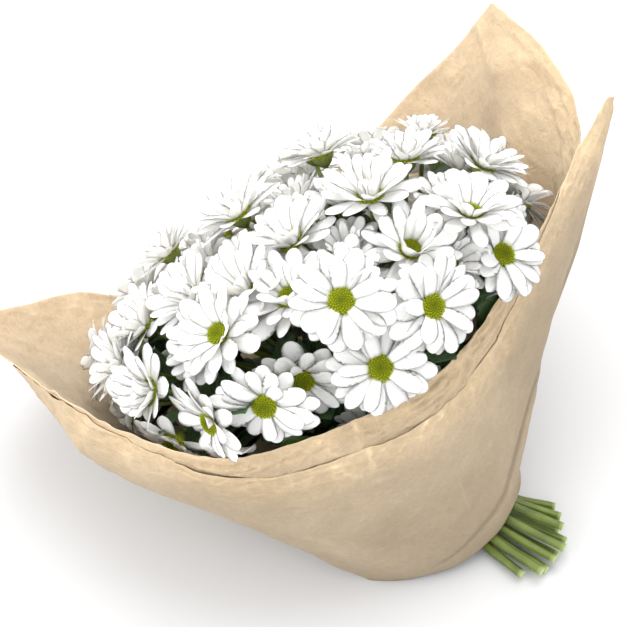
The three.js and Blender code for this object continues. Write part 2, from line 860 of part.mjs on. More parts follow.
let bloomNumber = 0;
seats.forEach( ( group, i ) => group.forEach( ( { centre, faces: ahead }, j ) => {

	bloomNumber ++;
	const axis = new THREE.Vector3( 0, 0, 1 );
	const turn = new THREE.Quaternion().setFromUnitVectors( axis, ahead );
	turn.multiply( new THREE.Quaternion().setFromAxisAngle( axis, 2.4 * bloomNumber ) );
	const place = new THREE.Matrix4().compose( centre, turn, new THREE.Vector3( 1, 1, 1 ) );
	const chosen = chooseRays( place, `bloom ${ i } ${ j }` );
	const mesh = add( `bloom_${ twoDigits( bloomNumber ) }`, raysGeometry( chosen ), colours.rays );
	mesh.position.copy( centre );
	mesh.quaternion.copy( turn );

} ) );

greens.forEach( ( green, i ) => {

	const leaves = growLeaves( curves[ i ], `spray ${ i }` );
	const solid = leaves.reduce( ( whole, blade ) => whole.add( blade ), green );
	add( `spray_${ twoDigits( i + 1 ) }`, geometryOf( solid ), colours.greens );

} );

// The part's origin is under the middle of the bunch, on the table.
const group = new THREE.Group();
group.add( bunch );
const middle = new THREE.Box3().setFromObject( bunch, true ).getCenter( new THREE.Vector3() );
bunch.position.set( - middle.x, - middle.y, 0 );

export default group;
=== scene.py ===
import math
import bpy
import numpy as np
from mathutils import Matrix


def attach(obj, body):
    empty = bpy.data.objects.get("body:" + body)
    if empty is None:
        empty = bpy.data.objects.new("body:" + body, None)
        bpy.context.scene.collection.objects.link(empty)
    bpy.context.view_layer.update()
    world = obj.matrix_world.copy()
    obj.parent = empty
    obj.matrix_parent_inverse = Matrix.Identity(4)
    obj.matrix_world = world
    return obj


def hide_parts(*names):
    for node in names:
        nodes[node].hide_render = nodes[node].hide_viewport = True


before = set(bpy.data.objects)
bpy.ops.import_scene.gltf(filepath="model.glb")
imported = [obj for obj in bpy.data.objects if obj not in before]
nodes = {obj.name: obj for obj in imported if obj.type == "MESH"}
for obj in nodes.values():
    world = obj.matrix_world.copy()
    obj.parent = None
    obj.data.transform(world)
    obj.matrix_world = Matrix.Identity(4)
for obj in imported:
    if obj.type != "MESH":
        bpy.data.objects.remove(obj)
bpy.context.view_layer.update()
print("frame loaded,", len(nodes), "nodes")

mm = 0.001  # all tables and formulas below are in millimetres and degrees
shuffle = np.random.default_rng(20)  # every random draw comes from here, in the order of making


# camera

view = {"target": (16.7, -24.3, 134.0), "elevation": 50.0, "distance": 1050.0, "lens": 91.35}


def placeCamera():
    # looks level across at +Y, tilted down by the elevation, at the target
    tilt = math.radians(view["elevation"])
    camera = bpy.data.objects.new("camera", bpy.data.cameras.new("camera"))
    bpy.context.scene.collection.objects.link(camera)
    x, y, z = view["target"]
    back, up = view["distance"] * math.cos(tilt), view["distance"] * math.sin(tilt)
    camera.location = (x * mm, (y - back) * mm, (z + up) * mm)
    camera.rotation_euler = (math.pi / 2 - tilt, 0, 0)
    camera.data.lens = view["lens"]
    camera.data.clip_end = 20
    bpy.context.scene.camera = camera


placeCamera()
print("camera placed")


# the bunch's own axes, and tables read round it

def unit(vector):
    # the vector, or each row of vectors, over its length
    vector = np.asarray(vector, float)
    return vector / np.linalg.norm(vector, axis=-1, keepdims=True)


bunchPlace = np.array([100.694, -106.306, 0.0])  # where the foot of the bunch's axis stands
start = np.array([0.0, 0.0, 25.0])
along = unit([-0.52, 0.5, 0.69])
across = unit([along[1], -along[0], 0.0])
upward = np.cross(across, along)


def radial(angle):
    # cos(angle) upward + sin(angle) across
    turn = np.radians(np.asarray(angle, float))[..., None]
    return np.cos(turn) * upward + np.sin(turn) * across


def inBunch(distance, radius, angle):
    # start + distance along the axis + radius outwards at the angle
    distance = np.asarray(distance, float)[..., None]
    radius = np.asarray(radius, float)[..., None]
    return start + distance * along + radius * radial(angle)


def facing(lean, angle):
    # the direction that leans away from the axis: cos(lean) along + sin(lean) radial(angle)
    lean = np.radians(lean)
    return np.cos(lean) * along + np.sin(lean) * radial(angle)


def readRound(rows, corners, angles):
    # a periodic cubic through the rows, whose slope at a row is that of the line past its
    # neighbours, or of its own side's chord at a corner
    table = np.array(rows, float)
    count, first = len(table), table[0, 0]
    turned = first + np.mod(np.asarray(angles, float) - first, 360)
    place = np.searchsorted(table[:, 0], turned, side="right") - 1

    def row(step):
        index = place + step
        values = table[index % count].copy()
        values[..., 0] += 360 * (index // count)
        return values

    before, left, right, after = row(-1), row(0), row(1), row(2)
    width = right[..., :1] - left[..., :1]
    s = (turned[..., None] - left[..., :1]) / width
    chord = (right - left) / width
    leftSlope = (right - before) / (right[..., :1] - before[..., :1])
    rightSlope = (after - left) / (after[..., :1] - left[..., :1])
    isCorner = np.isin(np.mod(table[:, 0], 360), np.mod(corners, 360))
    leftSlope = np.where(isCorner[place % count][..., None], chord, leftSlope)
    rightSlope = np.where(isCorner[(place + 1) % count][..., None], chord, rightSlope)
    value = (left * (1 + 2 * s) * (1 - s) ** 2 + right * s * s * (3 - 2 * s)
             + width * (leftSlope * s * (1 - s) ** 2 - rightSlope * s * s * (1 - s)))
    return value[..., 1:]


# meshes

def gridFaces(rows, columns, closedRows=False, closedColumns=False):
    # one quad for each cell of a grid of points numbered row by row
    i = np.arange(rows if closedRows else rows - 1)[:, None]
    j = np.arange(columns if closedColumns else columns - 1)[None, :]
    nextRow, nextColumn = (i + 1) % rows, (j + 1) % columns
    corners = (i * columns + j, i * columns + nextColumn,
               nextRow * columns + nextColumn, nextRow * columns + j)
    return np.stack(np.broadcast_arrays(*corners), -1).reshape(-1, 4)


def ringFaces(stations, ring):
    # the skin of a profile of ring points carried along stations, closed by a cap at each end
    caps = np.stack([np.arange(ring)[::-1], (stations - 1) * ring + np.arange(ring)])
    return gridFaces(stations, ring, closedColumns=True), caps


def repeated(faces, copies, size):
    # the same faces for each of several copies of size points
    return (faces[None] + (np.arange(copies) * size)[:, None, None]).reshape(-1, faces.shape[1])


def makePiece(name, points, faces, material, replaced, values=None, uv=None):
    # a smooth mesh from the points and the lists of faces, with its values and UVs for the material
    points = np.asarray(points, float).reshape(-1, 3) + bunchPlace
    loops = np.concatenate([face.ravel() for face in faces])
    sizes = np.concatenate([np.full(len(face), face.shape[1]) for face in faces])
    mesh = bpy.data.meshes.new(name)
    mesh.vertices.add(len(points))
    mesh.vertices.foreach_set("co", (points * mm).ravel())
    mesh.loops.add(len(loops))
    mesh.loops.foreach_set("vertex_index", loops.astype(np.int32))
    mesh.polygons.add(len(sizes))
    mesh.polygons.foreach_set("loop_start", np.concatenate([[0], np.cumsum(sizes)[:-1]]).astype(np.int32))
    mesh.update(calc_edges=True)
    mesh.polygons.foreach_set("use_smooth", np.ones(len(sizes), bool))
    for key, numbers in (values or {}).items():
        layer = mesh.attributes.new(key, "FLOAT", "POINT")
        layer.data.foreach_set("value", np.asarray(numbers, np.float32).ravel())
    if uv is not None:
        layer = mesh.uv_layers.new(name="surface")
        layer.data.foreach_set("uv", np.asarray(uv, np.float32).reshape(-1, 2)[loops].ravel())
    mesh.validate()
    piece = bpy.data.objects.new(name, mesh)
    bpy.context.scene.collection.objects.link(piece)
    mesh.materials.append(material)
    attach(piece, "root")
    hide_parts(replaced)


# smooth noise, for the paper and for the leaves

def lattice(seed):
    # a number from -1 to 1 for each corner of a block of 32 cubes a side, which then repeats
    return np.random.default_rng(seed).uniform(-1, 1, (32, 32, 32))


def noise(points, size, seed):
    # numbers from -1 to 1 on a lattice of cubes of the given size, blended smoothly between them
    values = lattice(seed)
    scaled = np.asarray(points) / size
    cell = np.floor(scaled).astype(int)
    part = scaled - cell
    part = part ** 3 * (part * (6 * part - 15) + 10)
    total = 0
    for dx in (0, 1):
        for dy in (0, 1):
            for dz in (0, 1):
                share = np.prod(np.where([dx, dy, dz], part, 1 - part), axis=-1)
                corner = (cell + (dx, dy, dz)) % 32
                total = total + share * values[corner[..., 0], corner[..., 1], corner[..., 2]]
    return total


def creases(points, size, seed):
    # 0 along the creases, rising to 1 between them: the size of a bent noise field
    bend = np.stack([noise(points, 1.7 * size, seed + k) for k in (1, 2, 3)], -1)
    return np.minimum(1, 2.2 * np.abs(noise(np.asarray(points) + 0.8 * size * bend, size, seed)))


# materials

class Finish:
    # a material with short ways to add and join its nodes
    def __init__(self, name, roughness):
        self.material = bpy.data.materials.new(name)
        self.material.use_nodes = True
        self.tree = self.material.node_tree
        self.shader = self.tree.nodes["Principled BSDF"]
        self.set({"Roughness": roughness})

    def join(self, source, target):
        self.tree.links.new(source, target)

    def feed(self, source, socket):
        # joins another node's output, or sets a number or a colour
        if isinstance(source, bpy.types.NodeSocket):
            self.join(source, socket)
        else:
            socket.default_value = (*source, 1) if isinstance(source, tuple) else source

    def node(self, kind, **settings):
        made = self.tree.nodes.new("ShaderNode" + kind)
        for key, value in settings.items():
            setattr(made, key, value)
        return made

    def coordinates(self, source, scale=(1, 1, 1)):
        # a place on the piece ("Object", in metres, or "UV"), stretched
        texture = self.node("TexCoord")
        mapping = self.node("Mapping")
        mapping.inputs["Scale"].default_value = scale
        self.join(texture.outputs[source], mapping.inputs["Vector"])
        return mapping.outputs["Vector"]

    def parts(self, place):
        split = self.node("SeparateXYZ")
        self.join(place, split.inputs[0])
        return split.outputs

    def noise(self, place, scale, detail=3.0, distortion=0.0):
        made = self.node("TexNoise")
        made.inputs["Scale"].default_value = scale
        made.inputs["Detail"].default_value = detail
        made.inputs["Distortion"].default_value = distortion
        self.join(place, made.inputs["Vector"])
        return made.outputs["Fac"]

    def wrinkles(self, place, scale, sway):
        # the distance from the creases between uneven facets, 0 on a crease
        warp = self.node("TexNoise")
        warp.inputs["Scale"].default_value = scale * 0.5
        self.join(place, warp.inputs["Vector"])
        moved = self.node("VectorMath", operation="MULTIPLY_ADD")
        moved.inputs[1].default_value = [sway / scale] * 3
        self.join(warp.outputs["Color"], moved.inputs[0])
        self.join(place, moved.inputs[2])
        made = self.node("TexVoronoi", feature="DISTANCE_TO_EDGE")
        made.inputs["Scale"].default_value = scale
        self.join(moved.outputs[0], made.inputs["Vector"])
        return made.outputs["Distance"]

    def value(self, name):
        # one of the piece's own numbers
        return self.node("Attribute", attribute_name=name).outputs["Fac"]

    def ramp(self, fac, stops):
        # colours or greys at the given places
        made = self.node("ValToRGB")
        elements = made.color_ramp.elements
        while len(elements) < len(stops):
            elements.new(0.5)
        for element, (place, colour) in zip(elements, stops):
            element.position = place
            grey = np.ndim(colour) == 0
            element.color = (colour, colour, colour, 1) if grey else (*colour, 1)
        self.join(fac, made.inputs["Fac"])
        return made.outputs["Color"]

    def mix(self, first, second, fac, blend="MIX"):
        made = self.node("Mix", data_type="RGBA", blend_type=blend)
        for socket, source in ((made.inputs[6], first), (made.inputs[7], second), (made.inputs[0], fac)):
            self.feed(source, socket)
        return made.outputs[2]

    def tinted(self, colour, tint, fac=1.0):
        # the colour times the tint, by the share fac
        return self.mix(colour, tint, fac, "MULTIPLY")

    def maths(self, operation, *sources):
        made = self.node("Math", operation=operation)
        for socket, source in zip(made.inputs, sources):
            self.feed(source, socket)
        return made.outputs[0]

    def times(self, first, second):
        return self.maths("MULTIPLY", first, second)

    def mottled(self, place, scale, detail, dark, light, distortion=0.0):
        # soft patches between two colours
        return self.ramp(self.noise(place, scale, detail, distortion), [(0.3, dark), (0.7, light)])

    def colour(self, source):
        self.join(source, self.shader.inputs["Base Color"])

    def set(self, sockets):
        # numbers and colours that are the same all over
        for name, value in sockets.items():
            self.shader.inputs[name].default_value = value

    def bump(self, height, distance, before=None):
        # relief of the given height in millimetres, on top of another
        made = self.node("Bump")
        made.inputs["Distance"].default_value = distance * mm
        self.join(height, made.inputs["Height"])
        if before is not None:
            self.join(before, made.inputs["Normal"])
        self.join(made.outputs["Normal"], self.shader.inputs["Normal"])
        return made.outputs["Normal"]


# the paper wrap

footRows = [  # the slanting foot of the wrap: angle, x, y, z
    (-180, 10, -3, 0), (-150, -18, -21, 0), (-120, -42, -34, 0), (-90, -46, -39, 0),
    (-70, -27, -41, 2), (-50, -6, -38, 4), (-25, 16, -31, 8), (0, 38, -16, 17), (25, 49, -2, 26),
    (50, 55, 10, 38), (70, 54, 20, 46), (90, 48, 31, 50), (110, 42, 36, 34), (130, 34, 30, 12),
    (150, 26, 16, 0)]

rimRows = [  # the inner sheet's rim: angle, distance along the axis, radius, bulge of the wall
    (-180, 196, 192, 22), (-163, 238, 188, 17), (-146, 258, 190, 12), (-132, 274, 196, 8),
    (-120, 284, 196, 6), (-112, 262, 184, 5), (-104, 231, 172, 4), (-96, 216, 168, 4),
    (-80, 180, 164, 3), (-65, 145, 157, 3), (-50, 131, 143, 4), (-30, 118, 127, 5),
    (-10, 112, 119, 5), (10, 115, 118, 4), (28, 125, 130, 3), (43, 154, 175, 2), (50, 167, 196, 2),
    (55, 181, 208, 2), (66, 219, 220, 2), (77, 266, 221, 2), (90, 248, 208, 4), (104, 235, 204, 7),
    (120, 217, 197, 10), (140, 199, 191, 15), (160, 190, 191, 19)]
rimCorners = [-120, 77]

outerRows = [  # the outer sheet's rim: angle, its share of the wall's length, the belly below it, its gap
    (-180, 0.76, 0, 0), (-150, 0.8, 2, 2), (-137, 0.81, 4, 3), (-126, 0.82, 7, 4), (-116, 0.865, 11, 3),
    (-107, 0.925, 18, 1.5), (-100, 0.96, 22, 0.6), (-90, 0.97, 18, 0.3), (-80, 0.94, 10, 0.1),
    (-70, 0.9, 5, 0), (-60, 0.875, 3, 0), (-30, 0.865, 2, 0), (10, 0.87, 1, 0),
    (25, 0.885, 2, 0.1), (36, 0.94, 3, 0.5), (44, 1.0, 6, 1.5), (50, 1.03, 10, 6), (56, 0.985, 13, 20),
    (60, 0.9, 14, 36), (61.5, 0.68, 13, 30), (64, 0.58, 8, 16), (72, 0.56, 3, 6), (90, 0.56, 0, 2),
    (130, 0.7, 0, 0)]
outerCorners = [-116, 60, 61.5]

wrap = {"columns": 380, "rows": 96,
        "inner": ((0.2, 1.7), (0.6, 1.2)),  # each face: how far out, and its lowest height
        "outer": ((0.75, 0.5), (1.15, 0.0)),
        "length": 230.0,  # about how long the wall is from foot to rim
        "front": -18.0,  # the angle that looks to the front
        "folds": 2.6, "creases": 1.5, "ripples": 1.1, "rimLines": 2.6, "pleats": 0.8, "ownFolds": 1.1,
        "drawnIn": 4.2, "curl": 6.0, "hem": 3.0, "lifted": 2.2, "rimWaves": (0.014, 0.006),
        "tuck": 8.5, "tuckAt": 47.0, "tuckWide": 22.0, "bandWide": 34.0,
        # the tones: dark and light are the paper's own; edge is a painted highlight along the rim, band is
        # painted light on the crumpled band by the rim, and foot is painted shade towards the foot
        "tones": {"dark": (0.325, 0.254, 0.172), "light": (0.41, 0.325, 0.226), "edge": (0.62, 0.5, 0.35),
                  "band": (1.6, 1.53, 1.41), "foot": (0.8, 0.8, 0.79)}}

fields = {  # the paper's noise fields: the size in millimetres, and the seed
    "folds": (62, 3), "creases": (34, 11), "smallCreases": (17, 31), "ripples": (9, 51),
    "rimLines": (11, 61), "fineRimLines": (6, 65), "pleats": (40, 71), "ownFolds": (26, 91),
    "rimWaves": (14, 95), "smallRimWaves": (5, 96), "lifted": (11, 97)}
stretched = np.eye(3) - 0.55 * np.outer(along, along)  # draws folds out along the bunch's axis


def tuck(angles, shares):
    # the wall is drawn in above the foot on the side of the cut stems, a bell round that angle
    # times sin(pi sqrt t)
    return (wrap["tuck"] * np.exp(-((angles - wrap["tuckAt"]) / wrap["tuckWide"]) ** 2)
            * np.sin(math.pi * np.sqrt(np.clip(shares, 0, 1))))


def bulge(rim, angles, shares):
    # the wall between foot and rim stands out by its bulge 4t(1-t), less the tuck
    return rim[..., 2] * 4 * shares * (1 - shares) - tuck(angles, shares)


def wallPoints(angles, shares, out, lowest):
    # from the foot to the rim in a straight line, pushed out by the bulge, with everything below
    # the lowest height pressed flat
    foot = readRound(footRows, [], angles)
    rim = readRound(rimRows, rimCorners, angles)
    t = shares[..., None]
    points = foot * (1 - t) + inBunch(rim[..., 0], rim[..., 1], angles) * t
    points = points + radial(angles) * (out + bulge(rim, angles, shares))[..., None]
    points[..., 2] = np.maximum(points[..., 2], lowest)
    return points


def inFront(angles):
    # the cosine of the angle to the front, and 0 behind
    return np.clip(np.cos(np.radians(angles - wrap["front"])), 0, 1)


def moreInFront(angles, behind):
    # from its share behind up to 1 in front, as the root of the cosine
    return behind + (1 - behind) * inFront(angles) ** 0.5


def curlIn(angles, shares):
    # the front of the rim leans in towards the blooms, as the square over the wall's top sixth
    return wrap["curl"] * inFront(angles) ** 2 * np.clip((shares - 0.84) / 0.16, 0, 1.3) ** 2


def roundRim(angles, height):
    # a place on a tube of 60 mm radius, for noise that runs on round the rim
    turn = np.radians(angles)
    return np.stack([60 * np.cos(turn), 60 * np.sin(turn), height], -1)


def crumple(angles, shares):
    # the wall's points, and the parts of the crumpling, each from 0 on a crease to 1 on the flat
    # beside it: sharp creases between broad flats, fine ripples, and lines that run along the rim
    points = wallPoints(angles, shares, 0.0, 0.0)
    alongRim = roundRim(angles, wrap["length"] * (1 - shares))
    sharp = creases(points @ stretched, *fields["creases"]) + 0.5 * creases(points, *fields["smallCreases"])
    rimLines = creases(alongRim, *fields["rimLines"]) + 0.6 * creases(alongRim, *fields["fineRimLines"])
    return points, sharp, creases(points, *fields["ripples"]), rimLines


def hemPlace(angles, shares):
    # the paper is turned under along the front of the foot: how far up that hem each point is, 1
    # where it ends, and how strong the hem is at its angle
    top = 0.05 + 0.24 * np.clip((angles + 45) / 90, 0, 1)
    return shares / top, np.clip((angles + 48) / 16, 0, 1) * np.clip((100 - angles) / 30, 0, 1)


def crumpled(angles, shares):
    # how far the paper is pushed out: broad folds, the crumpling, which grows towards the rim,
    # pleats that fade away from the foot, and the hem, which rises as the root of its share and
    # ends in a steep step
    points, sharp, ripples, rimLines = crumple(angles, shares)
    folds = noise(points @ stretched, *fields["folds"])
    pleats = np.sin(11 * np.radians(angles) + 2 * noise(points, *fields["pleats"])) * (1 - shares) ** 2
    nearRim = np.clip((shares - 0.4) / 0.45, 0, 1)
    inBand = np.exp(-((shares - 0.93) / 0.11) ** 2) * moreInFront(angles, 0.35)
    upHem, strength = hemPlace(angles, shares)
    hem = np.sqrt(np.clip(upHem, 0, 1)) * np.clip((1.1 - upHem) / 0.25, 0, 1) * strength
    push = (wrap["folds"] * (1 + folds) + wrap["creases"] * sharp) * (0.4 + 0.6 * nearRim)
    push = push + wrap["ripples"] * ripples * nearRim * moreInFront(angles, 0.5)
    push = push + wrap["rimLines"] * rimLines * inBand + wrap["pleats"] * (1 + pleats)
    push = push + wrap["hem"] * hem - wrap["drawnIn"] * nearRim
    return push * np.clip(8 * shares, 0.1, 1) - curlIn(angles, shares)


def innerSheet(angles, shares, out, lowest):
    # the wall, pushed out by its crumpling
    return wallPoints(angles, shares, out + crumpled(angles, shares), lowest)


def outerSheet(angles, shares, out, lowest):
    # held off the wall by a belly sin(pi s^2.8) with its top where s is 0.78, and towards the rim
    # by the gap s^3. The rim waves up and down and lifts here and there
    reach, belly, gap = np.moveaxis(readRound(outerRows, outerCorners, angles), -1, 0)
    circle = roundRim(angles, 0 * angles)
    broad, fine = wrap["rimWaves"]
    reach = reach + broad * noise(circle, *fields["rimWaves"])
    reach = reach + fine * noise(circle, *fields["smallRimWaves"])
    t = shares * reach
    lifted = wrap["lifted"] * np.clip(noise(circle, *fields["lifted"]) - 0.05, 0, 1) * shares ** 9
    loose = np.clip(belly, 0, None) * np.sin(math.pi * shares ** 2.8) + np.clip(gap, 0, None) * shares ** 3
    folds = noise(wallPoints(angles, t, 0.0, 0.0), *fields["ownFolds"])
    folds = wrap["ownFolds"] * (1 + folds) * np.sin(math.pi * shares)
    return wallPoints(angles, t, out + loose + lifted + folds + crumpled(angles, t), lowest)


def makeSheet(name, sheet, faces, material, replaced):
    # the sheet's inner and outer face, the inner one turned round, and a strip between them along
    # the foot and along the rim. The rows lie closer together towards the rim, as 1 - (1-s)^1.25
    columns, rows = wrap["columns"], wrap["rows"] + 1
    angles, shares = np.meshgrid(np.arange(columns) * 360.0 / columns - 180,
                                 1 - (1 - np.linspace(0, 1, rows)) ** 1.25)
    points = np.stack([sheet(angles, shares, out, lowest) for out, lowest in faces])
    skin = gridFaces(rows, columns, closedColumns=True)
    size = rows * columns
    i = np.arange(columns)
    edges = []
    for first, flip in ((0, False), (size - columns, True)):
        strip = np.stack([first + i, first + (i + 1) % columns,
                          size + first + (i + 1) % columns, size + first + i], -1)
        edges.append(strip[:, ::-1] if flip else strip)
    # for the material, which paints light and shade with them: nearness to the rim's edge (a painted
    # highlight) and to the crumpled band, which is strongest in front (painted light), nearness to the
    # foot (painted shade), the crease lines (painted highlights and shade), and the valley where the
    # hem ends (a painted shadow)
    down = wrap["length"] * (1 - shares)
    _, sharp, ripples, rimLines = crumple(angles, shares)
    upHem, strength = hemPlace(angles, shares)
    lines = np.exp(-(sharp / 0.3) ** 2) + 0.6 * np.exp(-(rimLines / 0.35) ** 2) - 0.35 * ripples
    values = {"edge": np.exp(-down / 0.8),
              "band": np.exp(-(down / wrap["bandWide"]) ** 2) * moreInFront(angles, 0.35),
              "foot": np.clip(1 - shares / 0.6, 0, 1),
              "lines": lines + 0.2,
              "hem": strength * (np.exp(-((upHem - 1.12) / 0.1) ** 2) - 0.35 * (upHem < 0.95))}
    makePiece(name, points, [size + skin, skin[:, ::-1], *edges], material, replaced,
              {key: np.stack([value, value]) for key, value in values.items()})


def kraftPaper():
    # mottled brown with long fibres and dark flecks, with painted light and shade from the wrap's shape, and
    # bumps from broad, crushed to fine
    finish = Finish("kraft paper", 0.8)
    tones = wrap["tones"]
    place = finish.coordinates("Object")
    colour = finish.mottled(place, 16, 4, tones["dark"], tones["light"], 0.4)
    fibres = finish.noise(finish.coordinates("Object", (1, 1, 6)), 300, 5, 1.4)
    colour = finish.tinted(colour, finish.ramp(fibres, [(0.32, 0.84), (0.5, 1.0), (0.7, 1.08)]), 0.8)
    flecks = finish.noise(place, 950, 2)
    colour = finish.tinted(colour, finish.ramp(flecks, [(0.62, 1.0), (0.72, 0.76)]), 0.6)
    # painted light: the crumpled band by the rim, which faces up, is lighter, with painted highlights on its
    # creases and painted shade in its hollows
    band = finish.value("band")
    colour = finish.tinted(colour, tones["band"], band)
    # painted shade: the paper darkens towards the foot, where less light reaches it
    colour = finish.tinted(colour, tones["foot"], finish.value("foot"))
    # painted shadow in the valley where the hem ends, with painted light on the hem below it
    hem = finish.times(finish.maths("ADD", finish.value("hem"), 1.0), 0.5)
    colour = finish.tinted(colour, finish.ramp(hem, [(0.32, 1.08), (0.5, 1.0), (1.0, 0.66)]))
    # painted highlights along the crease lines and painted shade over the ripples, and painted highlights on
    # the facets' creases with painted shade in the hollows between them, most in the band
    lines = finish.ramp(finish.value("lines"), [(0.0, 0.9), (0.45, 1.0), (1.0, 1.22)])
    hollows = finish.wrinkles(place, 85, 1.2)
    creaseShading = finish.tinted(lines, finish.ramp(hollows, [(0.0, 1.2), (0.12, 1.0), (0.4, 0.93)]), 0.5)
    colour = finish.tinted(colour, creaseShading, finish.maths("ADD", finish.times(band, 0.7), 0.3))
    # a painted highlight along the rim's edge, where the paper's edge catches the light
    finish.colour(finish.mix(colour, tones["edge"], finish.times(finish.value("edge"), 0.5)))
    soft = finish.bump(finish.noise(place, 95, 6, 1.0), 1.1)
    crushed = finish.times(finish.ramp(hollows, [(0.0, 1.0), (0.3, 0.0)]), band)
    finish.bump(finish.noise(place, 520, 3), 0.1, finish.bump(crushed, 0.5, soft))
    finish.set({"Specular IOR Level": 0.3, "Subsurface Weight": 0.3, "Subsurface Scale": 1.0,
                "Subsurface Radius": (0.0015, 0.0012, 0.0008)})
    return finish.material


kraft = kraftPaper()
makeSheet("sheet_inner", innerSheet, wrap["inner"], kraft, "paper_inner")
makeSheet("sheet_outer", outerSheet, wrap["outer"], kraft, "paper_outer")
print("two sheets of paper folded round")


# stems, where each bloom sits

stem = {"radius": 3.0, "pitch": 6.8, "sides": 18, "steps": 70,
        "ribs": 6, "ribHeight": 0.07, "swell": 0.04, "taper": 0.12,  # heights as shares of the radius
        "footMiddle": (85, -22, 0), "exitMiddle": (48, 1, 0), "exitShare": 0.75,
        "footCurve": 0.02, "fan": 1.1, "slant": 0.24, "uneven": 3.0,
        "tones": ((0.06, 0.092, 0.008), (0.14, 0.185, 0.02), (0.45, 0.55, 0.22)),  # the last is cut
        "tieMiddle": (14, 22, 23), "tieAhead": (-0.767, 0.404, 0.506), "straight": 7.0,
        "midway": (45, 14, -4, 2.5), "branching": (92, 5, -2, 5.0)}  # distance, aside, up, spread
footSide, footBack = unit([0.53, 0.85, 0]), unit([-0.85, 0.53, 0])
tieAhead = unit(stem["tieAhead"])
tieSide = unit(across - across @ tieAhead * tieAhead)
tieUp = np.cross(tieSide, tieAhead)
pedicel = {"radius": 1.35, "sides": 8, "steps": 16, "thicker": 0.35, "ribHeight": 0.08,
           "from": 0.97, "below": 7.5, "pulls": (0.4, 0.38)}
mound = {"distance": 165, "aside": 4, "sizes": (148, 150, 78)}  # the sizes go across, up and along

# each stem: its place in the tie in pitches, its cut end, and its blooms as the angle from the
# mound's top, the angle round it, the lift and, where it looks another way, that way's two angles
stemRows = [
    ((-1, -0.866), (-16.5, 5.2), ((60, -97, 4), (64, -126, 6), (84, -130, -9), (82, -152, -8))),
    ((0, -0.866), (-4, 5.2), ((44, -146, 2), (46, 168, 0), (76, 171, 0), (66, -160, 8))),
    ((1, -0.866), (12, 5.2), ((46, 130, 8), (76, 118, 0), (76, 145, 6), (26, 100, 10))),
    ((-1.5, 0), (-28, 7), ((90, -63, 6, 80, -85), (95, -80, 0), (72, -77, 8), (80, -103, -7))),
    ((-0.5, 0), (-10, 11), ((50, -44, 2), (42, -66, 0), (24, -120, 8), (46, -94, 0))),
    ((0.5, 0), (5, 11.5), ((46, 32, 4), (20, -40, 10), (22, 40, 12), (20, 150, 4))),
    ((1.5, 0), (26, 8), ((50, 62, 8), (82, 66, 0), (46, 95, 2), (76, 92, 4))),
    ((-1, 0.866), (-22, 11.2), ((92, -49, 8), (65, -51, 14), (100, -42, -19), (138, -36, 0, 95, -36))),
    ((0, 0.866), (-3, 17), ((76, -24, 22, 78, -25), (62, -33, 2), (42, -24, 2), (50, 2, 10))),
    ((1, 0.866), (17, 15.5), ((99, 18, 4, 75, 5), (78, 14, 10, 45, 15), (70, 36, 8), (95, 48, 0, 60, 60))),
    ((0.5, 1.732), (8, 21), ((94, -8, 8, 85, -5), (104, -24, 4, 80, -25), (72, -2, -2, 60, 0),
                             (138, -15, 0, 95, -15)))]


def bloomSeat(lean, angle, lift, *look):
    # a point of the mound's ellipsoid, lifted along its normal, and the way the bloom faces
    axes = np.stack([across, upward, along])
    parts = facing(lean, angle) @ axes.T
    centre = inBunch(mound["distance"], 0, 0) + mound["aside"] * across + (parts * mound["sizes"]) @ axes
    normal = unit((parts / mound["sizes"]) @ axes)
    return centre + lift * normal, facing(*look) if look else normal


def atFoot(middle, share, foot, back):
    # beside the middle by a share of the cut end's place, on a parabola that bends back
    aside = foot[0] * share
    point = middle + aside * footSide + (stem["footCurve"] * aside ** 2 + back) * footBack
    return np.array([point[0], point[1], foot[1]])


def besideAxis(distance, aside, up, spread, place):
    # at a distance along the axis the stems keep their pattern of the tie, spread wider
    pitch = spread * stem["pitch"]
    return inBunch(distance, 0, 0) + (aside + place[0] * pitch) * across + (up + place[1] * pitch) * upward


def inTie(x, y, ahead=0.0):
    # the tie's middle + x sideways + y up + a way along the stems
    return np.array(stem["tieMiddle"]) + x * tieSide + y * tieUp + ahead * tieAhead


def stemKnots(number):
    # the cut end, the way out of the wrap, both ends of the tie, and two places further on
    place, foot, _ = stemRows[number]
    x, y = np.array(place) * stem["pitch"]
    return np.array([
        atFoot(np.array(stem["footMiddle"]), stem["fan"], foot,
               stem["uneven"] * math.sin(7 * number) + stem["slant"] * foot[0]),
        atFoot(np.array(stem["exitMiddle"]), stem["exitShare"], foot, 0),
        inTie(x, y, -stem["straight"]), inTie(x, y, stem["straight"]),
        besideAxis(*stem["midway"], place), besideAxis(*stem["branching"], place)])


def alongKnots(knots, t):
    # a centripetal curve through the knots: cubic pieces whose slopes weigh the neighbouring
    # chords by the square roots of their lengths; t runs from 0 at the first knot to 1
    knots = np.vstack([2 * knots[0] - knots[1], knots, 2 * knots[-1] - knots[-2]])
    gaps = np.sqrt(np.linalg.norm(np.diff(knots, axis=0), axis=1))
    place = np.asarray(t, float) * (len(knots) - 3)
    k = np.minimum(place.astype(int), len(knots) - 4)
    w = (place - k)[..., None]
    p0, p1, p2, p3 = (knots[k + step] for step in range(4))
    d0, d1, d2 = (gaps[k + step][..., None] for step in range(3))
    m1 = ((p1 - p0) / d0 - (p2 - p0) / (d0 + d1) + (p2 - p1) / d1) * d1
    m2 = ((p2 - p1) / d1 - (p3 - p1) / (d1 + d2) + (p3 - p2) / d2) * d1
    return (p1 + m1 * w + (3 * (p2 - p1) - 2 * m1 - m2) * w ** 2
            + (2 * (p1 - p2) + m1 + m2) * w ** 3)


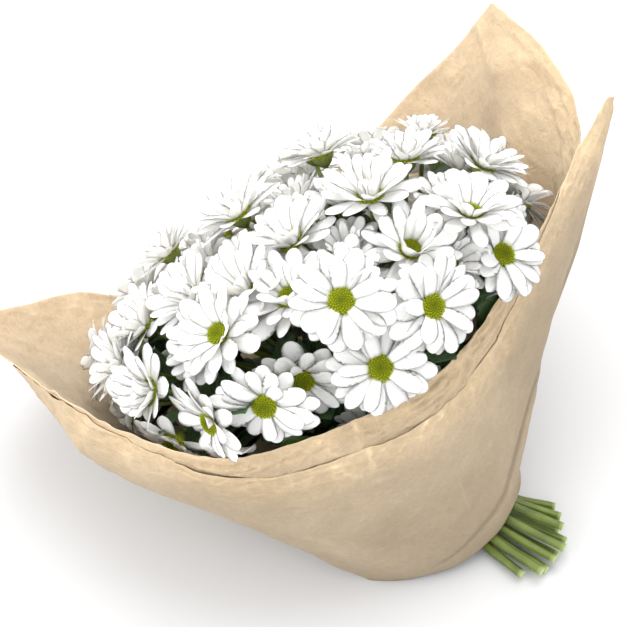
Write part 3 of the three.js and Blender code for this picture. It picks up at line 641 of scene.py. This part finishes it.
def bezier(knots, t):
    # the cubic whose four points weigh (1-t)^3, 3t(1-t)^2, 3t^2(1-t) and t^3
    t = np.asarray(t, float)[:, None]
    a, b, c, d = knots
    return a * (1 - t) ** 3 + 3 * b * t * (1 - t) ** 2 + 3 * c * t * t * (1 - t) + d * t ** 3


def sweep(path, radii):
    # a profile carried along a path: path is stations x 3, radii is stations x ring, and each
    # profile stands square to the path
    ahead = unit(np.gradient(path, axis=0))
    guide = np.eye(3)[np.argmin(np.abs(ahead).max(0))]
    side = unit(guide - (ahead @ guide)[:, None] * ahead)
    other = np.cross(ahead, side)
    turn = np.arange(radii.shape[1]) * 2 * math.pi / radii.shape[1]
    spoke = side[:, None] * np.cos(turn)[None, :, None] + other[:, None] * np.sin(turn)[None, :, None]
    return path[:, None] + spoke * radii[..., None]


def bloomTurn(faces, number):
    # columns are the bloom's own axes: the least turn from +Z to the way it faces, after a turn
    # of 2.4 radians for each bloom before it
    x, y, z = faces
    cross = np.array([[0, 0, x], [0, 0, y], [-x, -y, 0]])
    least = np.eye(3) + cross + cross @ cross / (1 + z)
    c, s = math.cos(2.4 * number), math.sin(2.4 * number)
    return least @ np.array([[c, -s, 0], [s, c, 0], [0, 0, 1]])


def seatOf(number, bloom, turn, size, name):
    # all that a bloom's pieces have to know about its place
    centre, faces = bloomSeat(*bloom)
    return {"stem": number, "centre": centre, "faces": faces, "turn": bloomTurn(faces, turn),
            "size": size, "name": name}


seats = []
for number, (_, _, blooms) in enumerate(stemRows):
    for bloom in blooms:
        seats.append(seatOf(number, bloom, len(seats) + 1, 1.0, f"{len(seats) + 1:02d}"))

# smaller, younger blooms that fill the gaps: the stem, the angle from the mound's top and round it
sideRows = [(5, 0, 180), (1, 28, -169), (8, 32, 9), (4, 24, -81), (6, 32, 66), (0, 44, -122), (2, 52, 148),
            (1, 56, -174), (9, 64, 51), (6, 64, 79), (8, 64, -17), (2, 32, 123), (5, 16, 9), (9, 66, 22),
            (4, 32, -47), (7, 60, -64), (8, 28, -16), (3, 60, -110), (9, 96, 33), (6, 40, 47),
            (4, 16, -142), (0, 64, -141), (4, 32, -104), (10, 88, 6), (8, 55, -13)]
side = {"lift": -9.0, "size": 0.84, "tipOut": 29.0, "tipHeight": 5.0, "shut": (0.55, 0.9)}
sideSeats = []
for number, *place in sideRows:
    sideSeats.append(seatOf(number, (*place, side["lift"]), len(sideSeats), side["size"],
                            f"side_{len(sideSeats) + 1:02d}"))


def onStem(number):
    # the seats of all blooms on one stem
    return [seat for seat in seats + sideSeats if seat["stem"] == number]


print(len(seats), "blooms and", len(sideSeats), "smaller ones have their places")


def keepInside(points, gap=4.0):
    # whatever would pass through the paper is drawn in to the gap from the wall: the wall's
    # radius at each height is the line from foot to rim with its bulge and its curled-in rim.
    # Nothing hangs lower than 3 mm above the ground
    points = np.array(points, float)
    away = points - start
    height = away @ along
    up, aside = away @ upward, away @ across
    radius, angles = np.hypot(up, aside), np.degrees(np.arctan2(aside, up))
    foot = readRound(footRows, [], angles) - start
    rim = readRound(rimRows, rimCorners, angles)
    low, narrow = foot @ along, (foot * radial(angles)).sum(-1)
    t = (height - low) / (rim[..., 0] - low)
    wall = narrow * (1 - t) + rim[..., 1] * t + bulge(rim, angles, t) - curlIn(angles, t)
    limit = np.where((t < 1.03) & (t > 0.1), wall - gap, np.inf)
    share = np.minimum(1, limit / np.maximum(radius, 1e-6))
    points = start + height[..., None] * along + (away - height[..., None] * along) * share[..., None]
    points[..., 2] = np.maximum(points[..., 2], 3.0)
    return points


# the white rays, in whorls from the outermost in: each whorl's turn against the one before it in
# parts of a ray's share of the round, its length, its width, how far it rises from the modelled
# rays in degrees, and how much more it rises in a bloom that is still half closed
ray = {"whorls": ((0.0, 1.07, 1.0, -4, 12), (0.5, 1.02, 1.0, 7, 28), (0.25, 0.86, 0.84, 19, 48)),
       "start": 5.4, "root": 0.1, "step": 0.85,  # each whorl is rooted a step above the last
       "width": 6.9, "thick": 0.45, "cup": 0.13, "groove": 0.3, "stations": 9,
       "sway": 5.0, "droop": 14, "fall": 16, "twist": 28.8,  # in degrees
       "shorter": 0.14,  # the share that a ray pointing straight down loses
       "lengths": (0.86, 1.06), "widths": (0.72, 1.1), "arches": (4, 26), "rises": (-3, 3),
       "blunts": (1.7, 3.4), "notches": (-0.5, 0.6),
       # the root tone is partly the ray's own green tinge and partly painted shade at the root
       "tones": {"vein": (0.925, 0.915, 0.87), "blade": (0.98, 0.972, 0.945), "root": (0.66, 0.72, 0.36)}}
cadRay = {"count": 10, "root": 9.8}  # the modelled rays, and from where out their tips are read

# how far each bloom is from fully open: 0 open, 1 with its inner rays still standing
closed = {"01": 0.6, "05": 0.5, "06": 0.6, "09": 0.5, "12": 0.5, "14": 0.35, "15": 0.8, "16": 0.5, "17": 0.8,
          "18": 0.85, "19": 0.6, "20": 0.7, "21": 0.75, "22": 0.7, "23": 0.5, "25": 0.7, "26": 0.3,
          "27": 0.5, "30": 0.5, "31": 0.15, "34": 0.9, "35": 0.7, "36": 0.9, "38": 0.5, "39": 0.45,
          "43": 1.0, "44": 0.6}

# blooms that are smaller or squeezed against the paper, and the share of the full size they have
crowded = {"32": 0.6, "16": 0.7, "03": 0.75, "14": 0.85, "44": 0.7, "25": 0.68, "27": 0.8, "12": 0.88,
           "23": 0.86, "21": 0.85, "24": 0.88, "19": 0.88}


def readTips(seat):
    # how far out and how high the tip of each of the bloom's ten modelled rays is: the mean of
    # the vertices that lie on its middle line past the root. The smaller blooms have none
    middle = (np.arange(cadRay["count"]) + 0.5) * 2 * math.pi / cadRay["count"]
    if seat["size"] < 1:
        return middle, np.full(len(middle), side["tipOut"]), np.full(len(middle), side["tipHeight"])
    node = nodes["bloom_" + seat["name"]].data
    points = np.empty(len(node.vertices) * 3, np.float32)
    node.vertices.foreach_get("co", points)
    points = (points.reshape(-1, 3) / mm - bunchPlace - seat["centre"]) @ seat["turn"]
    out = points[:, 0] * np.cos(middle)[:, None] + points[:, 1] * np.sin(middle)[:, None]
    aside = points[:, 1] * np.cos(middle)[:, None] - points[:, 0] * np.sin(middle)[:, None]
    isTip = (np.abs(aside) < 0.5) & (out > cadRay["root"])
    weight = isTip / isTip.sum(1, keepdims=True)
    return middle, (out * weight).sum(1), (points[:, 2] * weight).sum(1)


def rayShape(azimuth, chord, length, rootHeight, arch, width, blunt, twist, notch):
    # a trough with two grooves, carried along an arch from the root to the tip. Its middle line
    # turns evenly from chord + arch to chord - arch. Its half width grows as 1 - 0.55 (1-u)^2
    # and closes in a tip as sqrt(1 - ((u-0.5)/0.505)^blunt). It twists evenly towards the tip
    u = (1 - (1 - np.linspace(0, 1, ray["stations"])) ** 1.7)[None, :]
    turn = chord[:, None] + arch[:, None] * (1 - 2 * u)
    bend = -2 * arch[:, None]
    out = ray["start"] + length[:, None] * (np.sin(turn) - np.sin(turn[:, :1])) / bend
    height = rootHeight[:, None] - length[:, None] * (np.cos(turn) - np.cos(turn[:, :1])) / bend
    past = np.clip(u - 0.5, 0, None) / 0.505
    half = width[:, None] * (1 - 0.55 * (1 - u) ** 2) * np.sqrt(1 - past ** blunt[:, None])
    v = np.array([-1, -0.5, 0, 0.5, 1, 0.5, -0.5])  # five points above and two below
    isUnder = np.arange(len(v)) > 4
    u, half = u[..., None], half[..., None]
    grooves = -ray["groove"] * np.exp(-((np.abs(v) - 0.5) / 0.16) ** 2)
    grooves = grooves * np.sin(math.pi * np.minimum(1, 1.1 * u))
    lift = ray["cup"] * half * v ** 2 * (1.7 - 1.6 * u) + np.where(isUnder, 0.4, 1) * grooves
    lift = lift - np.where(isUnder, ray["thick"] * (1 - 0.5 * u), 0)
    turned = twist[:, None, None] * u
    sideways = half * v * np.cos(turned) - lift * np.sin(turned)
    lift = half * v * np.sin(turned) + lift * np.cos(turned)
    forward = notch[:, None, None] * np.clip(u - 0.9, 0, None) * 10 * np.cos(2.5 * math.pi * v)
    turn = turn[..., None]
    x = out[..., None] + forward * np.cos(turn) - lift * np.sin(turn)
    z = height[..., None] + forward * np.sin(turn) + lift * np.cos(turn)
    c, s = np.cos(azimuth)[:, None, None], np.sin(azimuth)[:, None, None]
    points = np.stack([x * c - sideways * s, x * s + sideways * c, z], -1)
    uv = np.stack(np.broadcast_arrays(u, (v + 1) / 2), -1)
    return points, np.broadcast_to(uv, points.shape[:-1] + (2,))


def raysOf(seat):
    # one row of numbers for each ray, whorl by whorl, and the rays' points from them
    middle, tipOut, tipHeight = readTips(seat)
    count = len(middle)
    shut = closed.get(seat["name"], 0.0) if seat["size"] == 1 else shuffle.uniform(*side["shut"])
    rays = []
    for level, (turn, share, wide, rise, more) in enumerate(ray["whorls"]):
        both = np.stack([np.arange(count), (np.arange(count) + (turn > 0)) % count])
        out, height = tipOut[both].mean(0) - ray["start"], tipHeight[both].mean(0)
        azimuth = middle + turn * 2 * math.pi / count
        azimuth = azimuth + np.radians(shuffle.uniform(-1, 1, count) * ray["sway"])
        # the ones that point down hang further and are a little shorter
        upwards = np.cos(azimuth) * seat["turn"][2, 0] + np.sin(azimuth) * seat["turn"][2, 1]
        down = np.minimum(upwards, 0)
        falls = (ray["droop"] * upwards + ray["fall"] * down) * (1 - shut)
        share = share * (1 + ray["shorter"] * down * (1 - shut))
        rise = rise + more * shut + falls + shuffle.uniform(*ray["rises"], count)
        length = np.hypot(out, height) * share * shuffle.uniform(*ray["lengths"], count)
        arch = np.radians(shuffle.uniform(*ray["arches"], count) * (1 - 1.2 * shut) + 6 * level * shut)
        arch = np.where(np.abs(arch) < 0.03, 0.03, arch)
        rays.append(np.stack([azimuth, np.arctan2(height, out) + np.radians(rise),
                              length * arch / np.sin(arch),
                              np.full(count, ray["root"] + ray["step"] * level), arch,
                              ray["width"] * wide * shuffle.uniform(*ray["widths"], count),
                              shuffle.uniform(*ray["blunts"], count),
                              np.radians(shuffle.uniform(-1, 1, count) ** 3 * ray["twist"]),
                              shuffle.uniform(*ray["notches"], count)]))
        if level == 2 and shut < 0.45:
            rays[-1] = rays[-1][:, ::2]  # an open bloom has only half of its inner rays
    points, uv = rayShape(*np.concatenate(rays, -1))
    points = points * crowded.get(seat["name"], 1.0)
    return keepInside(seat["size"] * points @ seat["turn"].T + seat["centre"]), uv


def makeRays(name, group, material, replaced):
    # all rays of the group's blooms in one piece, each with a tone of its own
    points, uv = (np.concatenate(both) for both in zip(*(raysOf(seat) for seat in group)))
    copies, size = points.shape[0], points.shape[1] * points.shape[2]
    faces = [repeated(face, copies, size) for face in ringFaces(*points.shape[1:3])]
    tone = np.repeat(shuffle.uniform(0, 1, copies), size)
    makePiece(name, points, faces, material, replaced, {"tone": tone}, uv)


def whitePetal():
    finish = Finish("white petal", 0.5)
    tones, tone = ray["tones"], finish.value("tone")
    # veins along the ray, drawn from another place for each tone, and at its root a green tinge that is also
    # darker, partly the ray's own colour and partly painted shade where the rays crowd in at the disc
    shifted = finish.node("VectorMath", operation="ADD")
    finish.join(finish.coordinates("UV", (1.2, 9, 1)), shifted.inputs[0])
    finish.join(tone, shifted.inputs[1])
    veins = finish.noise(shifted.outputs[0], 2.4, 3)
    colour = finish.ramp(veins, [(0.3, tones["vein"]), (0.6, tones["blade"])])
    root = finish.ramp(finish.parts(finish.coordinates("UV"))[0], [(0.03, 1.0), (0.22, 0.0)])
    colour = finish.mix(colour, tones["root"], root)
    finish.colour(finish.tinted(colour, finish.ramp(tone, [(0, 0.93), (1, 1.0)])))
    finish.bump(veins, 0.5)
    finish.set({"Specular IOR Level": 0.3, "Subsurface Weight": 0.35, "Subsurface Scale": 1.0,
                "Subsurface Radius": (0.0045, 0.0038, 0.0026)})
    return finish.material


petal = whitePetal()
for seat in seats:
    makeRays("rays_" + seat["name"], [seat], petal, "bloom_" + seat["name"])
for number in sorted({seat["stem"] for seat in sideSeats}):
    makeRays(f"side_rays_{number + 1:02d}", [seat for seat in sideSeats if seat["stem"] == number],
             petal, f"spray_{number + 1:02d}")
print("rays made for", len(seats), "blooms and", len(sideSeats), "smaller ones")


# the green discs

disc = {"radius": 8.0, "base": 0.9, "crown": 3.6, "dimple": 0.9, "sides": 20,
        "rings": (1.0, 1.0, 0.9, 0.75, 0.55, 0.3, 0.08),  # the dome's, as shares of its radius
        "florets": 110, "floret": 0.84, "tall": 1.4, "floretSides": 5,
        "tones": ((0.095, 0.125, 0.003), (0.18, 0.21, 0.004), (0.3, 0.335, 0.008))}


def domeHeight(radius):
    # base + crown (1 - s^2.6), which is flat in the middle and falls to the edge, less a dimple
    share = radius / disc["radius"]
    return disc["base"] + disc["crown"] * (1 - share ** 2.6) - disc["dimple"] * np.exp(-(share / 0.3) ** 2)


def discShape():
    # a dome, and on it small five-sided buds on a spiral with a golden turn between neighbours
    radii = disc["radius"] * np.array(disc["rings"])
    height = domeHeight(radii)
    height[0] = -0.5
    turn = np.arange(disc["sides"]) * 2 * math.pi / disc["sides"]
    dome = np.stack([radii[:, None] * np.cos(turn), radii[:, None] * np.sin(turn),
                     np.repeat(height[:, None], len(turn), 1)], -1)
    n = np.arange(disc["florets"]) + 0.5
    out = (disc["radius"] + 0.2) * np.sqrt(n / disc["florets"])
    angle = n * math.radians(137.508)
    slope = (domeHeight(out + 0.1) - domeHeight(out - 0.1)) / 0.2
    none, one = np.zeros_like(out), np.ones_like(out)
    lean = unit(np.stack([-slope, none, one], -1))
    # each bud's rings widen and close again as they rise, more so towards the edge
    share = out / disc["radius"]
    wide = (disc["floret"] * (0.62 + 0.38 * share))[:, None] * [0.9, 1.0, 0.45]
    tall = (disc["tall"] * (0.45 + 0.55 * share ** 2))[:, None] * [-0.4, 0.55, 1.0]
    around = np.arange(disc["floretSides"]) * 2 * math.pi / disc["floretSides"]
    east = np.stack([lean[:, 2], none, -lean[:, 0]], -1)
    spoke = east[:, None] * np.cos(around)[:, None] + np.sin(around)[:, None] * [0.0, 1.0, 0.0]
    buds = (np.stack([out, none, domeHeight(out)], -1)[:, None, None]
            + spoke[:, None] * wide[..., None, None] + lean[:, None, None] * tall[..., None, None])
    c, s = np.cos(angle)[:, None, None], np.sin(angle)[:, None, None]
    buds = np.stack([buds[..., 0] * c - buds[..., 1] * s, buds[..., 0] * s + buds[..., 1] * c,
                     buds[..., 2]], -1)
    # the tone grows from the middle to the edge, and from each bud's foot to its top
    domeTone = np.repeat(np.array(disc["rings"])[:, None], len(turn), 1)
    budTone = share[:, None, None] + np.array([-0.5, 0.0, 0.25])[:, None] + 0 * around
    return dome, buds, np.concatenate([domeTone.ravel(), budTone.ravel()])


def makeDiscs(number, group, material):
    # one dome with its buds for each of the group's blooms: sized, turned and moved to its centre
    dome, buds, tone = discShape()
    domeSize, budSize = dome.size // 3, buds[0].size // 3
    faces = list(ringFaces(*dome.shape[:2]))
    faces += [repeated(face, len(buds), budSize) + domeSize for face in ringFaces(*buds.shape[1:3])]
    local = np.concatenate([dome.reshape(-1, 3), buds.reshape(-1, 3)])
    points = np.concatenate([seat["size"] * local @ seat["turn"].T + seat["centre"] for seat in group])
    makePiece(f"discs_{number + 1:02d}", points,
              [repeated(face, len(group), len(local)) for face in faces], material,
              f"spray_{number + 1:02d}", {"tone": np.tile(tone, len(group))})


def discGreen():
    # darker in the middle, lighter at the edge and on top of the buds, with fine spots
    finish = Finish("disc green", 0.55)
    colour = finish.ramp(finish.value("tone"), list(zip((0.0, 0.55, 1.0), disc["tones"])))
    spots = finish.noise(finish.coordinates("Object"), 700, 2)
    finish.colour(finish.tinted(colour, finish.ramp(spots, [(0.35, 0.75), (0.65, 1.15)]), 0.8))
    finish.bump(spots, 0.3)
    finish.set({"Specular IOR Level": 0.1, "Subsurface Weight": 0.1,
                "Subsurface Radius": (0.002, 0.002, 0.001)})
    return finish.material


green = discGreen()
for number in range(len(stemRows)):
    makeDiscs(number, onStem(number), green)
print("discs made")


# stems, pedicels and calyces

calyx = {"outline": ((1.3, -8.4), (2.6, -7.6), (4.6, -5.6), (5.9, -3.2), (6.6, -0.9), (6.2, -0.2),
                     (3.0, 0.2)),  # each ring's radius and height
         "sides": 39, "bracts": 13, "scallop": 0.07}


def stemPath(number):
    # the stem's middle line, from its cut end to where its pedicels part
    return alongKnots(stemKnots(number), np.linspace(0, 1, stem["steps"]))


def pedicelPath(seat):
    # out of the stem's end along it, and into the bloom from behind
    knots = stemKnots(seat["stem"])
    begin, ahead = alongKnots(knots, [pedicel["from"], pedicel["from"] + 0.001])
    end = seat["centre"] - pedicel["below"] * seat["size"] * seat["faces"]
    first, last = np.array(pedicel["pulls"]) * np.linalg.norm(end - begin)
    controls = (begin, begin + first * unit(ahead - begin), end - last * seat["faces"], end)
    return bezier(controls, np.linspace(0, 1, pedicel["steps"]))


def makeStems(number, group, material):
    # the ribbed stem with its pale cut end, and for each bloom a thin pedicel and a cup of bracts.
    # The stem's radius is r (1 + ribs cos 6a + swell sin 40t - taper t), a pedicel's is
    # r (1 + thicker (1-t)^3), with a rib at every other side, and the cup is scalloped as cos 13a
    path = stemPath(number)
    turn = np.arange(stem["sides"]) * 2 * math.pi / stem["sides"]
    run = np.linspace(0, 1, stem["steps"])[:, None]
    ribs = stem["ribHeight"] * np.cos(stem["ribs"] * turn + 2 * run)
    uneven = stem["swell"] * np.sin(40 * run + number) - stem["taper"] * run
    skin = sweep(path, stem["radius"] * (1 + ribs + uneven))
    cut = skin[:1] * 0.86 + path[0] * 0.14  # the end face, a little smaller
    rings = [np.concatenate([cut, skin])]
    tones = [np.concatenate([[1.0, 0.5], np.zeros(stem["steps"] - 1)])]
    outline = np.array(calyx["outline"])
    around = np.arange(calyx["sides"]) * 2 * math.pi / calyx["sides"]
    wide = outline[:, :1] * (1 + calyx["scallop"] * np.cos(calyx["bracts"] * around))
    cup = np.stack([wide * np.cos(around), wide * np.sin(around),
                    np.broadcast_to(outline[:, 1:], wide.shape)], -1)
    for seat in group:
        taper = 1 + pedicel["thicker"] * np.linspace(1, 0, pedicel["steps"])[:, None] ** 3
        ribs = 1 + pedicel["ribHeight"] * np.cos(math.pi * np.arange(pedicel["sides"]))
        rings.append(sweep(pedicelPath(seat), pedicel["radius"] * taper * ribs))
        tones.append(np.zeros(pedicel["steps"]))
        rings.append(seat["size"] * cup @ seat["turn"].T + seat["centre"])
        tones.append(np.linspace(0.0, 0.3, len(outline)))
    size, faces = 0, []
    for ring in rings:
        faces += [part + size for part in ringFaces(*ring.shape[:2])]
        size += ring.shape[0] * ring.shape[1]
    tone = np.concatenate([np.repeat(values, ring.shape[1]) for values, ring in zip(tones, rings)])
    makePiece(f"stems_{number + 1:02d}", np.concatenate([ring.reshape(-1, 3) for ring in rings]), faces,
              material, f"spray_{number + 1:02d}", {"tone": tone})


def stemGreen():
    # mottled, with a fine grain, and pale at the cut end
    finish = Finish("stem green", 0.42)
    place = finish.coordinates("Object")
    dark, light, cut = stem["tones"]
    finish.colour(finish.mix(finish.mottled(place, 60, 3, dark, light), cut, finish.value("tone")))
    finish.bump(finish.noise(place, 500, 3), 0.15)
    return finish.material


stalk = stemGreen()
for number in range(len(stemRows)):
    makeStems(number, onStem(number), stalk)
print("stems and pedicels made")


# leaves

leaf = {"length": 58.0, "halfWidth": 18.0, "stalk": 1.3, "thick": 0.5, "stations": 22,
        "droop": 150.0, "ripple": 0.9, "trough": 0.22, "teeth": 0.05,
        "perStem": 15, "starts": (0.3, 0.78), "leans": (35, 70), "sizes": (0.65, 0.95),
        "ahead": (-0.1, 0.5), "aside": (-0.6, 0.6),  # how far the outward ones turn from straight out
        "tones": ((0.018, 0.05, 0.012), (0.045, 0.105, 0.022), (0.10, 0.17, 0.05))}  # the last: veins


def leafShape(length, wave):
    # a trough along the midrib. The edge runs in and out in forward lobes with small teeth:
    # half width = W sin(pi b^0.8) (0.42 + 0.58 |cos(3.2 pi b + 1.2)|^0.6), where b runs from 0 at
    # the end of a narrow stalk to 1 at the tip. It droops as x^2
    u = np.linspace(0, 1, leaf["stations"])[:, None]
    v = np.array([-1, -0.66, -0.33, 0, 0.33, 0.66, 1, 0.5, 0, -0.5])
    isUnder = np.arange(len(v)) > 6
    blade = np.clip((u - 0.16) / 0.84, 0, 1)
    lobes = 0.42 + 0.58 * np.abs(np.cos(3.2 * math.pi * blade + 1.2)) ** 0.6
    teeth = 1 + leaf["teeth"] * np.cos(26 * math.pi * blade)
    half = leaf["stalk"] + leaf["halfWidth"] * np.sin(math.pi * blade ** 0.8) * lobes * teeth
    x = length * (u + 0.11 * np.abs(v) ** 1.3 * np.sin(math.pi * blade))
    y = half * v
    ripple = leaf["ripple"] * np.sin(wave + 9 * u + 5 * v) * np.abs(v) ** 2 * np.sin(math.pi * blade)
    z = leaf["trough"] * np.abs(y) + ripple - x ** 2 / leaf["droop"] - np.where(isUnder, leaf["thick"], 0)
    uv = np.stack(np.broadcast_arrays(u, (v + 1) / 2), -1)
    return np.stack([np.broadcast_to(x, y.shape), y, z], -1), uv


def leafTurn(ahead, around, lean):
    # out of the stem at the lean, with the leaf's upper side turned towards the stem's tip
    side = unit(np.cross(ahead, across))
    side = side * math.cos(around) + np.cross(ahead, side) * math.sin(around)
    out = ahead * math.cos(lean) + side * math.sin(lean)
    width = unit(np.cross(ahead, side))
    return np.stack([out, width, np.cross(out, width)], -1)


# the modelled leaves of each stem: how far along it, how far round it from their spiral, the lean
leafRows = [
    ((0.8, 0, 35), (0.88, 0, 20)), ((0.8, 0, 55), (0.88, 0, 20)), ((0.8, 0, 55), (0.88, 0, 35)),
    ((0.8, 30, 55), (0.88, 0, 55)), ((0.88, 0, 20), (0.95, 0, 35)), ((0.8, 240, 20), (0.88, 30, 20)),
    ((0.8, 180, 55), (0.88, 90, 55)), ((0.8, 90, 55), (0.88, 0, 55)), ((0.8, 120, 75), (0.88, 0, 35)),
    ((0.8, 180, 55), (0.88, 0, 20)), ((0.8, 90, 55), (0.88, 0, 55))]


def leafPlaces(number, group):
    # the modelled leaves on the stem, on a spiral of 137 degrees for each tenth of it, then smaller
    # ones on the pedicels under the blooms: two in three reach out to the paper, the others grow
    # all round
    knots = stemKnots(number)
    for share, around, lean in leafRows[number]:
        point, ahead = alongKnots(knots, [share, share + 0.001])
        around = math.radians(1370 * share + around)
        yield point, leafTurn(unit(ahead - point), around, math.radians(lean)), 1.0
    for k in range(leaf["perStem"]):
        path = pedicelPath(group[k % len(group)])
        at = int(shuffle.uniform(*leaf["starts"]) * len(path))
        around, lean = shuffle.uniform(0, 2 * math.pi), math.radians(shuffle.uniform(*leaf["leans"]))
        if k % 3:
            away = path[at] - start
            away = unit(away - away @ along * along) + shuffle.uniform(*leaf["ahead"]) * along
            away = unit(away + shuffle.uniform(*leaf["aside"]) * across)
            width = unit(np.cross(along, away))
            turn = np.stack([away, width, np.cross(away, width)], -1)
        else:
            turn = leafTurn(unit(path[at + 1] - path[at]), around, lean)
        yield path[at], turn, shuffle.uniform(*leaf["sizes"])


def makeLeaves(number, group, material):
    # each leaf is sized, turned and moved to its place, and then kept inside the paper
    points, uvs, tones = [], [], []
    for place, turn, size in leafPlaces(number, group):
        shape, uv = leafShape(leaf["length"] * size, shuffle.uniform(0, 6))
        points.append(keepInside((shape * [1, size, size]) @ turn.T + place))
        uvs.append(uv)
        tones.append(np.full(uv.shape[:2], shuffle.uniform(0, 1)))
    points = np.stack(points)
    copies, stationCount, ring = points.shape[:3]
    faces = [repeated(face, copies, stationCount * ring) for face in ringFaces(stationCount, ring)]
    makePiece(f"leaves_{number + 1:02d}", points, faces, material, f"spray_{number + 1:02d}",
              {"tone": np.stack(tones)}, np.stack(uvs))


def leafGreen():
    # mottled, with a lighter midrib and side veins, and a fine grain
    finish = Finish("leaf green", 0.5)
    place = finish.coordinates("Object")
    dark, light, vein = leaf["tones"]
    # distance from the midrib, and side veins that run forward from it
    run, over, _ = finish.parts(finish.coordinates("UV"))
    beside = finish.maths("ABSOLUTE", finish.maths("SUBTRACT", over, 0.5))
    midrib = finish.maths("SUBTRACT", 1.0, finish.times(beside, 26.0))
    slanting = finish.maths("SUBTRACT", run, finish.times(beside, 0.45))
    sideVeins = finish.maths("SINE", finish.times(slanting, 62.0))
    veins = finish.ramp(finish.maths("MAXIMUM", midrib, sideVeins), [(0.8, 0.0), (1.0, 1.0)])
    colour = finish.mix(finish.mottled(place, 90, 4, dark, light), vein, finish.times(veins, 0.6))
    finish.colour(finish.tinted(colour, finish.ramp(finish.value("tone"), [(0, 0.8), (1, 1.25)])))
    finish.bump(finish.noise(place, 600, 3), 0.15, finish.bump(veins, 0.35))
    return finish.material


foliage = leafGreen()
for number in range(len(stemRows)):
    makeLeaves(number, onStem(number), foliage)
print("leaves made")


# the cord round the stems, two strands twisted together
cordLoop = {"radius": 1.25, "strand": 0.72, "clear": 0.8, "turns": 46, "steps": 552, "sides": 7,
            "tones": ((0.34, 0.25, 0.13), (0.55, 0.43, 0.26))}


def tiePath():
    # round the outermost stems at their radius, the gap and the cord's own radius from their
    # middles: an arc at each corner and a straight run between
    places = np.array([row[0] for row in stemRows]) * stem["pitch"]
    offset = stem["radius"] + cordLoop["clear"] + cordLoop["radius"]
    directions = np.radians(np.linspace(0, 360, 721)[:-1])
    normals = np.stack([np.cos(directions), np.sin(directions)], -1)
    corner = places[np.argmax(normals @ places.T, 1)]
    loop = corner + offset * normals
    loop = np.vstack([loop, loop[:1]])
    far = np.concatenate([[0], np.cumsum(np.linalg.norm(np.diff(loop, axis=0), axis=1))])
    even = np.linspace(0, far[-1], cordLoop["steps"] + 1)[:-1]
    return np.stack([np.interp(even, far, loop[:, k]) for k in (0, 1)], -1)


def makeTie(material):
    # two round strands, half a turn apart, wind about the loop on a circle that fills the cord
    loop = tiePath()
    count = len(loop)
    ahead = unit(np.roll(loop, -1, 0) - np.roll(loop, 1, 0))
    outward = np.stack([ahead[:, 1], -ahead[:, 0]], -1)
    twist = np.arange(count) * 2 * math.pi * cordLoop["turns"] / count
    ring = np.arange(cordLoop["sides"]) * 2 * math.pi / cordLoop["sides"]
    strands = []
    for half in (0, math.pi):
        shift = cordLoop["radius"] - cordLoop["strand"]
        out = shift * np.cos(twist + half)[:, None] + cordLoop["strand"] * np.cos(ring)
        on = shift * np.sin(twist + half)[:, None] + cordLoop["strand"] * np.sin(ring)
        flat = loop[:, None] + outward[:, None] * out[..., None]
        strands.append(np.array(stem["tieMiddle"]) + flat[..., :1] * tieSide + flat[..., 1:] * tieUp
                       + on[..., None] * tieAhead)
    skin = gridFaces(count, cordLoop["sides"], True, True)
    size = count * cordLoop["sides"]
    makePiece("tie_cord", np.stack(strands), [repeated(skin, 2, size)], material, "tie")


def cordBrown():
    # mottled, with a fine grain
    finish = Finish("natural cord", 0.9)
    place = finish.coordinates("Object")
    finish.colour(finish.mottled(place, 900, 4, *cordLoop["tones"]))
    finish.bump(finish.noise(place, 2500, 2), 0.2)
    return finish.material


makeTie(cordBrown())
print("tie made")


# the floor's tone and half its side, the sky's strength, and the lights, which all aim at one
# point: place, width and watts. The lengths are in metres here
studio = {"floor": (0.56, 0.56, 0.565), "half": 6, "world": 1.55, "aim": (0, 0, 0.1),
          "lights": {"key": ((-1.2, -0.75, 1.1), 1.2, 15.0), "top": ((0.0, 0.4, 1.8), 1.5, 27.0)}}


def areaLight(name, place, size, power):
    # a round lamp at its place, turned to look at the aim
    light = bpy.data.lights.new(name, "AREA")
    light.shape, light.size, light.energy = "DISK", size, power
    lamp = bpy.data.objects.new(name, light)
    bpy.context.scene.collection.objects.link(lamp)
    lamp.location = place
    away = unit(np.array(place) - studio["aim"])
    lamp.rotation_euler = (math.acos(away[2]), 0, math.atan2(away[1], away[0]) + math.pi / 2)


def makeStudio():
    # a wide pale floor under an even white sky, and the lights
    mesh = bpy.data.meshes.new("floor")
    half = studio["half"]
    corners = [(-half, -half, 0), (half, -half, 0), (half, half, 0), (-half, half, 0)]
    mesh.from_pydata(corners, [], [(0, 1, 2, 3)])
    floor = bpy.data.objects.new("floor", mesh)
    bpy.context.scene.collection.objects.link(floor)
    pale = Finish("pale floor", 0.9)
    pale.set({"Base Color": (*studio["floor"], 1), "Specular IOR Level": 0.1})
    mesh.materials.append(pale.material)
    world = bpy.data.worlds.new("studio")
    world.use_nodes = True
    sky = world.node_tree.nodes["Background"]
    sky.inputs["Color"].default_value = (1, 1, 1, 1)
    sky.inputs["Strength"].default_value = studio["world"]
    bpy.context.scene.world = world
    for name, (place, size, power) in studio["lights"].items():
        areaLight(name, place, size, power)
    bpy.context.scene.view_settings.view_transform = "Standard"


makeStudio()
print("floor and lights set")
